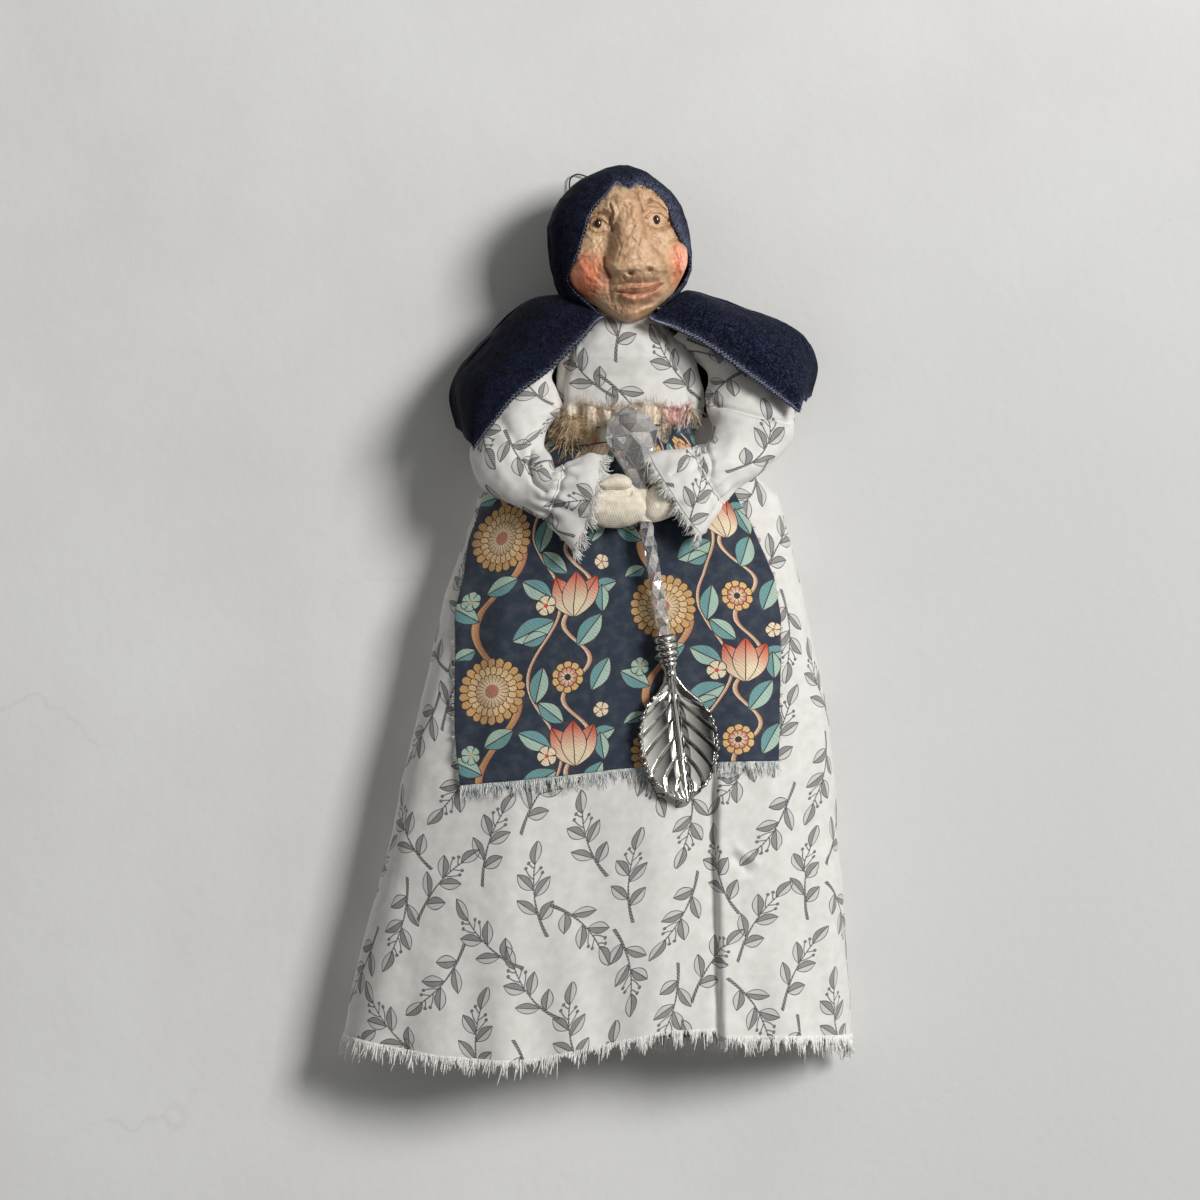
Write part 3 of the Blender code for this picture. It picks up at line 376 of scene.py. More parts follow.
def makeLeafGroup():
    # one printed leaf that lies along a line from its foot, with one half hatched
    floats = [
        ("Turn", "Float", 0.0), ("Length", "Float", 0.3), ("Width", "Float", 0.15), ("Line", "Float", 0.012)
    ]
    tree, given, out = newGroup(
        "printedLeaf", [("Place", "Vector", None), ("Foot", "Vector", None), *floats],
        [(title, "Float") for title in ("Inside", "Drawn", "Hatched", "Along", "Side")],
    )
    turned = turnedBy(given["Place"], times(given["Turn"], -1.0), given["Foot"])
    x, y = axesOf(vecCalc("SUBTRACT", turned, given["Foot"]))[:2]
    t = calc("DIVIDE", x, given["Length"], clamp=True)
    belly = times(times(t, minus(1.0, t)), 2.0)
    fromEdge = minus(times(calc("POWER", belly, 1.05), given["Width"]), unsigned(y))
    inside = above(fromEdge, 0.0)
    outline = times(inside, below(fromEdge, given["Line"]))
    rib = times(inside, below(unsigned(y), times(given["Line"], 0.55)))
    upper = above(y, 0.0)
    strokes = calc("FRACT", calc("DIVIDE", minus(times(y, 1.3), x), times(given["Line"], 2.6)))
    hatched = times(times(inside, upper), below(strokes, 0.55))
    found = {"Inside": inside, "Drawn": larger(outline, rib), "Hatched": hatched, "Along": t, "Side": upper}
    for title, value in found.items():
        tree.links.new(value, out[title])
    return tree


leafGroup = makeLeafGroup()

# leaf sprigs tossed over the dress cloth: two layers of cells, each sprig turned its own way
sprigLook = {
    "cell": 0.0322,
    "length": 0.0322,
    # foot, turn from the stem, length, width
    "pairs": [(0.22, 0.80, 0.255, 0.130), (0.47, 0.74, 0.255, 0.130)],
    "stalks": [(0.58, 0.62, 0.155), (0.69, 0.80, 0.095)],
    "line": 0.0098,
}


def makeSprigGroup():
    tree, given, out = newGroup("leafSprig", [("Place", "Vector", None)], [("Ink", "Float")])
    x, y = axesOf(given["Place"])[:2]
    bent = minus(x, times(times(y, minus(y, 1.0)), 0.42))
    folded = flatPlace(unsigned(bent), plus(y, times(calc("SIGN", bent), 0.035)))

    def leafInk(place, foot, turn, length, width):
        feeds = {"Place": place, "Foot": foot, "Turn": math.pi / 2 + turn}
        leaf = useGroup(
            tree, leafGroup, {**feeds, "Length": length, "Width": width, "Line": sprigLook["line"]}
        )
        body = times(leaf["Inside"], plus(0.22, times(leaf["Side"], 0.36)))
        return larger(body, larger(times(leaf["Hatched"], 0.82), times(leaf["Drawn"], 0.95)))

    ink = leafInk(flatPlace(bent, y), (0, 0.76, 0), 0.12, 0.26, 0.130)
    for foot, turn, length, width in sprigLook["pairs"]:
        ink = larger(ink, leafInk(folded, (0.004, foot, 0), -turn, length, width))
    onStem = below(unsigned(bent), ramp(y, 0.0, 0.45, 0.021, 0.0075))
    inLength = times(above(y, 0.0), below(y, 0.80))
    ticks = calc("FRACT", times(plus(y, bent), 26.0))
    ink = larger(ink, times(times(onStem, inLength), plus(0.70, times(below(ticks, 0.45), 0.3))))
    for foot, turn, length in sprigLook["stalks"]:
        fromFoot = vecCalc("SUBTRACT", turnedBy(folded, turn - math.pi / 2, (0, foot, 0)), (0, foot, 0))
        across, off = axesOf(fromFoot)[:2]
        sag = plus(off, times(times(across, minus(across, length)), -1.6))
        line = times(below(unsigned(sag), 0.0065), times(above(across, 0.0), below(across, length)))
        berry = below(vecCalc("DISTANCE", fromFoot, (length, 0, 0)), 0.019)
        ink = larger(ink, times(larger(line, berry), 0.85))
    tree.links.new(ink, out["Ink"])
    return tree


sprigGroup = makeSprigGroup()


def makeTossGroup():
    tree, given, out = newGroup("tossedSprigs", [("Place", "Vector", None)], [("Ink", "Float")])
    cell = sprigLook["cell"]
    size = cell / sprigLook["length"]
    found = []
    for layer, shift in enumerate(((0.13, 0.21, 0.0), (0.63, 0.71, 0.0))):
        cells = vecCalc("ADD", vecCalc("MULTIPLY", given["Place"], (1 / cell, 1 / cell, 0.0)), shift)
        which = vecCalc("ADD", vecCalc("FLOOR", cells), (7.0 * layer, 3.0, 0.0))
        inCell = vecCalc("SUBTRACT", vecCalc("FRACTION", cells), (0.5, 0.5, 0.0))
        dice = put(tree, "TexWhiteNoise", {"Vector": which}, noise_dimensions="2D").outputs["Value"]
        halfTurn = times(calc("FLOOR", times(dice, 2.0)), math.pi)
        lean = times(minus(calc("FRACT", times(dice, 37.0)), 0.5), 1.7)
        turned = turnedBy(inCell, plus(halfTurn, lean))
        place = vecCalc("ADD", vecCalc("MULTIPLY", turned, (size, size, 0.0)), (-0.05, 0.5, 0.0))
        found.append(useGroup(tree, sprigGroup, {"Place": place})["Ink"])
    tree.links.new(larger(*found), out["Ink"])
    return tree


tossGroup = makeTossGroup()

dressLook = {"cloth": rgb(214, 212, 208), "warm": rgb(200, 195, 187), "ink": rgb(30, 31, 36)}
dressCloth, tree, sockets = newMaterial("printedCotton", 0.88, sheen=0.15)
place = put(tree, "UVMap", uv_map="cloth").outputs[0]
weave = useGroup(tree, weaveGroup, {"Place": place, "Pitch": 0.00045})
worn = times(useGroup(tree, tossGroup, {"Place": place})["Ink"], ramp(weave["Fleck"], 0.2, 0.75, 1.0, 0.82))
base = mixColour(ramp(weave["Fleck"], 0.3, 0.8), dressLook["cloth"], dressLook["warm"])
tree.links.new(mixColour(worn, base, dressLook["ink"]), sockets["Base Color"])
addBump(sockets, weave["Height"], 0.35, 0.00012)

# the apron's print: folk asters, tulips and leaves on wavy vines, in a half-drop repeat, with places in mm
printLook = {
    "repeat": (0.058, 0.0505), "ground": rgb(26, 38, 53), "groundLight": rgb(38, 52, 68),
    "tan": rgb(196, 152, 98), "gold": rgb(214, 172, 112), "cream": rgb(222, 204, 172),
    "teal": rgb(108, 160, 160), "paleTeal": rgb(160, 186, 170), "red": rgb(196, 74, 48),
    "pink": rgb(172, 112, 90), "outline": rgb(58, 40, 34),
    # swing to each side, waves in a repeat, their start, the line's middle, half its width, colour
    "vines": [
        (5.5, 1, 2.6, 4.0, 0.5, "cream"), (7.5, 1, 0.4, -12.0, 1.25, "tan"),
        (4.5, 2, 2.1, 15.0, 0.75, "cream")
    ],
    # foot, turn in degrees, length, width
    "leaves": [
        ((-7, -20), 24, 16, 9), ((-18, -13), 150, 12, 7), ((-6, 1), 205, 12, 7), ((-5, 0), -28, 13, 7),
        ((15, -23), 52, 14, 7.5), ((19, -4), 15, 10, 6), ((11, 2), 140, 12, 6.5), ((20, 12), 62, 13, 7),
        ((1, 9), 78, 13, 7), ((-19, -22), 205, 9, 5.5), ((5, -18), 200, 9, 5.5), ((24, -12), 95, 10, 5.5),
    ],
    # a tulip's leaf-shaped petals: turn in degrees, width
    "tulip": (14.0, -13.0), "petals": [(62, 6.5), (118, 6.5), (90, 7.5)],
    # middle, radius, petals, a colour for each ring, heart
    "asters": [
        ((-13.5, 14.5), 11.4, 22, ("tan", "gold", "tan"), "pink"), ((4.5, -8.5), 3.6, 5, ("cream",), "red"),
        ((12.0, 17.5), 5.6, 10, ("gold", "red"), "outline"), ((-21.5, -6.0), 3.4, 6, ("paleTeal",), "tan"),
        ((23.5, 5.5), 2.9, 5, ("cream",), "pink"),
    ],
}


def makeFolkGroup():
    look = printLook
    dark, cream = look["outline"], look["cream"]
    tree, given, out = newGroup("folkFlowers", [("Place", "Vector", None)], [("Colour", "Color")])
    wide, tall = look["repeat"]
    rawX, rawY = axesOf(given["Place"])[:2]
    column = calc("DIVIDE", rawX, wide)
    drop = times(calc("FLOORED_MODULO", calc("FLOOR", column), 2.0), 0.5)
    x = times(minus(calc("FRACT", column), 0.5), wide * 1000)
    y = times(minus(calc("FRACT", plus(calc("DIVIDE", rawY, tall), drop)), 0.5), tall * 1000)
    place = flatPlace(x, y)
    colour = mixColour(noiseAt(given["Place"], 1500.0, 3.0), look["ground"], look["groundLight"])

    for swing, cycles, shift, lean, half, tint in look["vines"]:
        wave = times(calc("SINE", plus(times(y, 2 * math.pi * cycles / (tall * 1000)), shift)), swing)
        off = minus(minus(x, wave), lean)
        colour = mixColour(below(unsigned(off), half + 0.35), colour, dark)
        body = mixColour(ramp(off, -half, half), look[tint], look["pink"])
        colour = mixColour(below(unsigned(off), half), colour, body)

    def leafAt(foot, turn, length, width, line):
        feeds = {"Place": place, "Foot": (*foot, 0), "Turn": math.radians(turn), "Length": length}
        return useGroup(tree, leafGroup, {**feeds, "Width": width, "Line": line})

    def printed(colour, found, body):
        return mixColour(found["Drawn"], mixColour(found["Inside"], colour, body), dark)

    for foot, turn, length, width in look["leaves"]:
        found = leafAt(foot, turn, length, width, 0.34)
        body = mixColour(found["Side"], look["paleTeal"], look["teal"])
        colour = printed(colour, found, mixColour(times(found["Hatched"], 0.35), body, dark))
    for turn, width in look["petals"]:
        found = leafAt(look["tulip"], turn, 16.0, width * 1.25, 0.32)
        body = mixColour(ramp(found["Along"], 0.35, 0.9), cream, look["red"])
        colour = printed(colour, found, mixColour(times(found["Hatched"], 0.3), body, look["pink"]))

    for middle, radius, petals, tints, heart in look["asters"]:
        dx, dy = axesOf(vecCalc("SUBTRACT", place, (*middle, 0)))[:2]
        r = calc("SQRT", plus(times(dx, dx), times(dy, dy)))
        angle = times(calc("ARCTAN2", dy, dx), petals / 2)
        for step, tint in enumerate(tints):
            reach = radius * (1 - step / len(tints) * 0.72)
            lobes = unsigned(calc("SINE", plus(angle, 0.9 * step)))
            edge = times(reach, plus(0.86, times(calc("POWER", lobes, 0.6), 0.14)))
            colour = mixColour(below(r, edge), colour, dark)
            fill = times(below(r, minus(edge, 0.32)), above(lobes, 0.24))
            toned = mixColour(ramp(r, reach * 0.35, reach), cream if step else look[tint], look[tint])
            colour = mixColour(fill, colour, toned)
        colour = mixColour(below(r, radius * 0.2), colour, look[heart])
    # fine strokes of a hand-cut print
    wander = put(tree, "TexNoise", {"Vector": given["Place"], "Scale": 260.0}).outputs["Color"]
    wobble = vecCalc("ADD", given["Place"], vecCalc("MULTIPLY", wander, (0.0022, 0.0022, 0.0)))
    strokes = calc("SINE", vecCalc("DOT_PRODUCT", wobble, (4300.0, 5100.0, 0.0)))
    tree.links.new(mixColour(ramp(strokes, 0.35, 0.9, 0.0, 0.30), colour, dark), out["Colour"])
    return tree


folkGroup = makeFolkGroup()
apronCloth, tree, sockets = newMaterial("flowerCotton", 0.86, sheen=0.12)
place = put(tree, "UVMap", uv_map="cloth").outputs[0]
weave = useGroup(tree, weaveGroup, {"Place": place, "Pitch": 0.0005})
flowers = useGroup(tree, folkGroup, {"Place": place})["Colour"]
tree.links.new(
    mixColour(ramp(weave["Fleck"], 0.45, 0.8, 0.0, 0.12), flowers, rgb(150, 150, 142)),
    sockets["Base Color"]
)
addBump(sockets, weave["Height"], 0.4, 0.00013)

# mottled navy cape cloth
capeLook = {
    "dark": rgb(10, 11, 19), "mid": rgb(22, 25, 40), "light": rgb(48, 53, 76), "worn": rgb(86, 90, 108)
}
capeCloth, tree, sockets = newMaterial("mottledNavy", 1.0)
sockets["Specular IOR Level"].default_value = 0.15
place = objectPlace(tree)
clouds = noiseAt(place, 210.0, 6.0, roughness=0.62, distortion=1.6)
curls = noiseAt(place, 430.0, 5.0, distortion=3.4)
paintedLightRight = ramp(axesOf(place)[0], -0.030, 0.050)  # painted light: the curls are paler towards the right, where the key lamp falls
colour = mixColour(ramp(clouds, 0.38, 0.62), capeLook["dark"], capeLook["mid"])
colour = mixColour(
    times(ramp(curls, 0.50, 0.62, 0.0, 0.8), ramp(paintedLightRight, 0.0, 1.0, 0.35, 1.0)), colour, capeLook["light"]
)
# this mask holds the worn edges, made paler towards the upper right as painted light
edgeWearAndLight = readMask(tree, "edgeWearAndLight")
colour = mixColour(times(edgeWearAndLight, ramp(curls, 0.40, 0.60, 0.0, 1.0)), colour, capeLook["worn"])
tree.links.new(colour, sockets["Base Color"])
nap = noiseAt(place, 2600.0, 3.0)
addBump(sockets, plus(nap, times(curls, 0.8)), 0.5, 0.00016)


def plainThread(name, low, high, roughness=0.8, scale=1800.0):
    material, tree, sockets = newMaterial(name, roughness, sheen=0.1)
    grain = put(
        tree, "TexNoise", {"Vector": objectPlace(tree), "Scale": scale, "Detail": 3.0}
    ).outputs["Fac"]
    tree.links.new(mixColour(ramp(grain, 0.35, 0.65), low, high), sockets["Base Color"])
    addBump(sockets, grain, 0.4, 0.0001)
    return material


whiteThread = plainThread("frayedCotton", rgb(214, 211, 204), rgb(240, 238, 234))
greyThread = plainThread("stitchThread", rgb(88, 93, 110), rgb(160, 164, 178))
navyFray = plainThread("navyFray", rgb(30, 33, 46), rgb(66, 71, 88))
blueFray = plainThread("apronFray", rgb(176, 190, 196), rgb(244, 240, 230), scale=300.0)
tanFray = plainThread("apronTopFray", rgb(182, 152, 112), rgb(238, 232, 218), scale=240.0)
redFray = plainThread("apronSideFray", rgb(52, 70, 92), rgb(206, 158, 150), scale=200.0)
blackCord = plainThread("waxedCord", rgb(4, 4, 5), rgb(14, 14, 16), 0.7)
wireMetal, tree, sockets = newMaterial("armWire", 0.42, 1.0)
grain = noiseAt(objectPlace(tree), 900.0, 2.0)
tree.links.new(mixColour(grain, rgb(120, 118, 114), rgb(170, 168, 164)), sockets["Base Color"])
dowelWood, tree, sockets = newMaterial("dowelWood", 0.6)
stretched = put(tree, "Mapping", {"Vector": objectPlace(tree), "Scale": (900.0, 900.0, 60.0)}).outputs[0]
grain = noiseAt(stretched, 1.0, 3.0)
tree.links.new(mixColour(grain, rgb(176, 132, 84), rgb(206, 168, 118)), sockets["Base Color"])

muslin, tree, sockets = newMaterial("knitMuslin", 0.92, sheen=0.2)
place = objectPlace(tree)
slanted = put(tree, "Mapping", {"Vector": place, "Rotation": (0.0, 0.35, 0.0)}).outputs[0]
ribs = put(
    tree, "TexWave",
    {"Vector": slanted, "Scale": 400.0, "Distortion": 1.2, "Detail": 2.0, "Detail Scale": 3.0},
    wave_type="BANDS", bands_direction="X"
).outputs["Fac"]
purl = put(
    tree, "TexWave", {"Vector": place, "Scale": 420.0, "Distortion": 1.5, "Detail": 2.0}, wave_type="BANDS",
    bands_direction="Z"
).outputs["Fac"]
grain = noiseAt(place, 500.0, 4.0)
height = plus(times(ribs, 0.6), plus(times(purl, 0.5), grain))
tree.links.new(
    mixColour(ramp(grain, 0.3, 0.7), rgb(204, 192, 168), rgb(228, 219, 202)), sockets["Base Color"]
)
addBump(sockets, height, 0.55, 0.00018)
print("materials made")

# camera, wall and light

cameraLook = {"aim": (viewX, planeY, viewZ), "away": away, "frameWidth": 1200 * pixel}
camera = bpy.data.objects.new("camera", bpy.data.cameras.new("camera"))
camera.data.sensor_width = 36.0
camera.data.lens = 36.0 * cameraLook["away"] / cameraLook["frameWidth"]
camera.data.clip_end = 50.0
camera.location = Vector(cameraLook["aim"]) - Vector((0, cameraLook["away"], 0))
camera.rotation_euler = (math.pi / 2, 0, 0)
bpy.context.scene.collection.objects.link(camera)
bpy.context.scene.camera = camera
bpy.context.scene.view_settings.view_transform = "Standard"

wallLook = {
    "colour": rgb(214, 213, 210), "stain": rgb(203, 201, 197), "crack": rgb(186, 182, 176),
    "shaded": rgb(198, 198, 196)
}
mesh = bpy.data.meshes.new("wall")
mesh.from_pydata([(-3, 0.0008, -3), (3, 0.0008, -3), (3, 0.0008, 3), (-3, 0.0008, 3)], [], [(0, 1, 2, 3)])
wall = addPiece("wall", mesh, smooth=False)
plaster, tree, sockets = newMaterial("plaster", 0.9)
place = objectPlace(tree)
blotch = noiseAt(place, 7.0, 6.0, roughness=0.6)
warped = vecCalc(
    "ADD", place,
    vecCalc(
        "MULTIPLY", put(tree, "TexNoise", {"Vector": place, "Scale": 22.0, "Detail": 5.0}).outputs["Color"],
        (0.05, 0.05, 0.05)
    )
)
crackNet = put(
    tree, "TexVoronoi", {"Vector": warped, "Scale": 6.5}, feature="DISTANCE_TO_EDGE"
).outputs["Distance"]
patch = ramp(noiseAt(place, 9.0), 0.55, 0.68)
crack = times(ramp(crackNet, 0.0, 0.006, 0.45, 0.0), patch)
colour = mixColour(ramp(blotch, 0.35, 0.7), wallLook["colour"], wallLook["stain"])
sideways = axesOf(place)
shaded = times(ramp(sideways[0], -0.02, 0.16), ramp(sideways[2], 0.06, -0.10, 0.0, 1.0))
colour = mixColour(shaded, colour, wallLook["shaded"])
colour = mixColour(crack, colour, wallLook["crack"])
tree.links.new(colour, sockets["Base Color"])
grit = noiseAt(place, 260.0, 6.0)
addBump(sockets, plus(grit, blotch), 0.12, 0.0012)
# from behind, and for the light that comes through it, the wall is clear
clear = put(tree, "BsdfTransparent")
through = larger(
    put(tree, "NewGeometry").outputs["Backfacing"], put(tree, "LightPath").outputs["Is Shadow Ray"]
)
oneSided = put(
    tree, "MixShader", {0: through, 1: tree.nodes["Principled BSDF"].outputs[0], 2: clear.outputs[0]}
)
tree.links.new(oneSided.outputs[0], tree.nodes["Material Output"].inputs["Surface"])
coat(wall, plaster)

dollMiddle = Vector((0, 0, -0.145))
lightLook = {
    # kind, place from the doll's middle, size or angle, power
    "key": ("AREA", (1.20, -1.50, 0.60), 0.60, 42.3),
    "fill": ("AREA", (-1.6, -1.9, 0.4), 1.6, 2.7),
    "behind": ("SUN", (-0.12, 1.0, 0.28), 0.5, 1.2),  # so that the doll's back can be seen
}
for title, (kind, place, size, power) in lightLook.items():
    lamp = bpy.data.lights.new(title, kind)
    setattr(lamp, "size" if kind == "AREA" else "angle", size)
    lamp.energy = power
    holder = bpy.data.objects.new(title, lamp)
    holder.location = Vector(place) + dollMiddle
    holder.rotation_euler = (dollMiddle - holder.location).to_track_quat("-Z", "Y").to_euler()
    bpy.context.scene.collection.objects.link(holder)
world = bpy.data.worlds.new("room")
bpy.context.scene.world = world
world.use_nodes = True
roomLook = {
    "strength": 0.19, "tint": (0.97, 0.985, 1.0, 1), "dark": (0.05, 0.05, 0.055, 1),
    "bright": (1.0, 0.99, 0.96, 1), "window": (0.62, -0.55, 0.56), "doorway": (-0.36, -0.87, -0.34)
}
tree = world.node_tree
shader = tree.nodes["Background"]
shader.inputs[0].default_value = roomLook["tint"]
shader.inputs[1].default_value = roomLook["strength"]
# glass and metal mirror a room with bright windows between dark walls
look = put(tree, "TexCoord").outputs["Generated"]
bars = calc("SINE", times(vecCalc("DOT_PRODUCT", look, (2.6, 0.9, 3.1)), 3.4))
window = vecCalc("DOT_PRODUCT", look, Vector(roomLook["window"]).normalized())
toRight = ramp(axesOf(look)[0], -0.15, 0.25)
doorway = vecCalc("DOT_PRODUCT", look, Vector(roomLook["doorway"]).normalized())
lit = larger(
    larger(ramp(window, 0.55, 0.95), ramp(doorway, 0.965, 0.988, 0.0, 0.85)),
    times(ramp(bars, 0.2, 0.7, 0.0, 0.9), toRight)
)
mirrored = put(tree, "Background", {1: 1.0})
tree.links.new(mixColour(lit, roomLook["dark"], roomLook["bright"]), mirrored.inputs[0])
paths = put(tree, "LightPath").outputs
shiny = larger(paths["Is Glossy Ray"], paths["Is Transmission Ray"])
both = put(tree, "MixShader", {0: shiny, 1: shader.outputs[0], 2: mirrored.outputs[0]})
tree.links.new(both.outputs[0], tree.nodes["World Output"].inputs["Surface"])
print("camera, wall and light set")

# hanging cord

cordLook = {
    "radius": 0.00026,
    "route": [
        (-0.0105, -0.00192, -0.0550), (-0.0107, -0.0018, -0.0500), (-0.0125, -0.0011, -0.0400),
        (-0.0150, -0.0009, -0.0280), (-0.0172, -0.0008, -0.0160), (-0.0185, -0.0008, -0.0080),
        (-0.0188, -0.0008, -0.0035), (-0.0182, -0.0008, -0.0012), (-0.0164, -0.0008, -0.0001),
        (-0.0146, -0.0008, -0.0003), (-0.0112, -0.0008, -0.0012), (-0.0050, -0.0008, -0.0008),
        (0.0000, -0.0008, -0.0004), (0.0048, -0.0008, 0.0004), (0.0076, -0.0008, 0.0003),
        (0.0084, -0.0008, -0.0012), (0.0076, -0.0008, -0.0080), (0.0070, -0.0008, -0.0200),
        (0.0078, -0.0009, -0.0320), (0.0085, -0.0011, -0.0410), (0.0089, -0.0017, -0.0500),
        (0.0090, -0.00173, -0.0550),
    ],
}
route = throughPoints(cordLook["route"], 78)
curve = bpy.data.curves.new("hangingCord", "CURVE")
curve.dimensions = "3D"
curve.bevel_depth = cordLook["radius"]
curve.bevel_resolution = 3
curve.use_fill_caps = True
line = curve.splines.new("POLY")
line.points.add(len(route) - 1)
for knot, point in zip(line.points, route):
    knot.co = (*point, 1.0)
hangingCord = bpy.data.objects.new("hangingCord", curve)
bpy.context.scene.collection.objects.link(hangingCord)
settle(hangingCord, blackCord, "waxed_cord", "body", "hanging_loop")

# head

headLook = {
    "middle": (-0.0017, -0.0255, -0.0245),
    "size": (0.0223, 0.0196, 0.0250),
    "skin": rgb(182, 142, 107), "light": rgb(206, 170, 134), "washAndShade": rgb(116, 76, 48),
    "cheek": rgb(238, 132, 94), "cheekHighlight": rgb(240, 200, 180), "lip": rgb(196, 104, 86),
    "lid": rgb(206, 172, 138),
    # soft swellings: place, spread across and down (pixels), rise (mm)
    "swells": [
        (626, 198, 30, 14, 1.4), (598, 224, 16, 12, -2.2), (659, 220, 15, 12, -2.0),
        (590, 279, 17, 18, 4.6), (681, 266, 11, 21, 5.0), (583, 250, 14, 14, 0.8),
        (638, 288, 25, 13, 3.6), (634, 311, 23, 10, 3.4), (608, 267, 7, 8, 1.6), (656, 264, 7, 8, 1.3),
        (598, 224, 7.0, 5.6, 1.3), (658, 220.5, 7.6, 5.6, 1.3), (637, 302.5, 17, 2.6, -0.7),
        (628.7, 273.6, 2.8, 2.0, -3.2), (644.8, 270.8, 2.8, 2.0, -3.0), (668, 250, 7, 12, -1.0),
        (613, 212, 5, 9, 0.9),
        (648, 240, 9, 12, -0.9), (603, 246, 8, 15, -0.9), (667, 276, 4, 12, -1.2),
    ],
    # nose: how far down, its middle, half width and rise
    "nose": [
        (190, 624, 9, 0.0), (200, 626, 11, 1.4), (210, 627.5, 12, 1.5), (222, 629.5, 13, 2.5),
        (236, 631.5, 14.5, 3.7), (248, 633, 17.5, 5.2), (258, 634, 21, 6.9), (266, 634.5, 23.5, 8.0),
        (271, 635, 24, 7.6), (275, 635.5, 22.5, 5.5), (279, 636, 21.5, 3.0), (284, 636, 20, 0.0),
    ],
    "ridges": [
        ([(588, 214), (596, 209.5), (604, 208), (611, 212)], 3.0, 0.8),
        ([(643, 209), (651, 204), (661, 205), (671, 216)], 2.6, 1.1),
        ([(652, 198.5), (662, 202), (669, 210)], 1.9, 0.8),
        ([(590, 203), (600, 201), (610, 203)], 2.0, 0.4),
        ([(591, 221), (596, 216.6), (602, 217.4), (608, 222.5)], 1.3, 1.0),
        ([(591, 229), (598, 231.2), (605, 229.4)], 1.3, 0.7),
        ([(647, 217), (652, 212), (660, 211.6), (668, 217.5)], 1.3, 1.1),
        ([(649, 224.6), (656, 227.4), (664, 225), (671, 222)], 1.3, 0.9),
        ([(612, 205), (615, 214), (612, 224)], 2.2, 0.9),
        ([(616, 283), (628, 279.8), (642, 278.6), (657, 279)], 3.2, 0.9),
        ([(619, 290), (629, 287.6), (637, 288.2), (646, 286.2), (656, 283)], 2.2, 1.3),
        ([(624, 297), (634, 299), (644, 297.2), (652, 291.5)], 2.5, 1.7),
        ([(600, 236), (594, 238), (588, 236)], 2.2, 0.4), ([(652, 231), (662, 233), (671, 229)], 2.0, 0.4),
        ([(634, 214), (637, 226), (641, 240), (644, 254)], 3.0, 0.6),
        ([(676, 247), (683, 256), (684, 268), (680, 280)], 4.0, 0.7),
    ],
    "creases": [
        ([(610, 204), (612.5, 212), (610, 222), (612.5, 230)], 1.5, -0.9),
        ([(636, 194), (640, 204), (642.5, 214), (645, 226), (645, 238)], 1.6, -0.8),
        ([(612, 226), (609, 240), (607, 254)], 4.2, -0.7),
        ([(605, 258), (606, 267), (611, 277)], 1.7, -1.7),
        ([(650, 246), (657, 256), (660, 266), (659, 276)], 2.4, -0.8),
        ([(618, 292), (628, 293.6), (637, 294), (647, 291.4), (657, 284.6)], 1.0, -1.3),
        ([(611, 279), (611, 289), (614, 299)], 1.8, -0.6),
        ([(661, 278), (664, 289), (661, 301)], 1.8, -0.6),
        ([(620, 222), (628, 224), (636, 220)], 1.1, -0.35),
        ([(631, 238), (637, 246), (639.5, 239)], 1.0, -0.8),
        ([(622, 258), (631, 260.5), (642, 258)], 1.1, -0.3),
        ([(589, 232.5), (597, 234.4), (606, 231)], 1.0, -0.5),
        ([(649, 229.5), (658, 230.8), (669, 226)], 1.0, -0.6),
        ([(648, 201), (658, 203.5), (666, 211)], 1.1, -0.8),
        ([(644, 206.5), (652, 208), (662, 209)], 1.0, -0.5),
        ([(622, 206), (629, 208), (636, 206)], 1.1, -0.35), ([(622, 277.5), (626, 282)], 1.1, -0.45),
        ([(640, 276), (641, 283)], 1.1, -0.35),
        ([(667, 243), (674, 239), (683, 245)], 1.4, -0.7),
        ([(579, 262), (586, 257), (596, 258)], 1.4, -0.4),
        ([(617, 236), (621, 248), (618, 258)], 1.3, -0.35),
        ([(592, 214.5), (598, 213.2), (605, 214)], 1.0, -0.5),
        ([(650, 238), (659, 243), (664, 252)], 1.2, -0.4),
        ([(622, 303), (634, 306), (648, 302)], 1.6, -0.35),
    ],
}


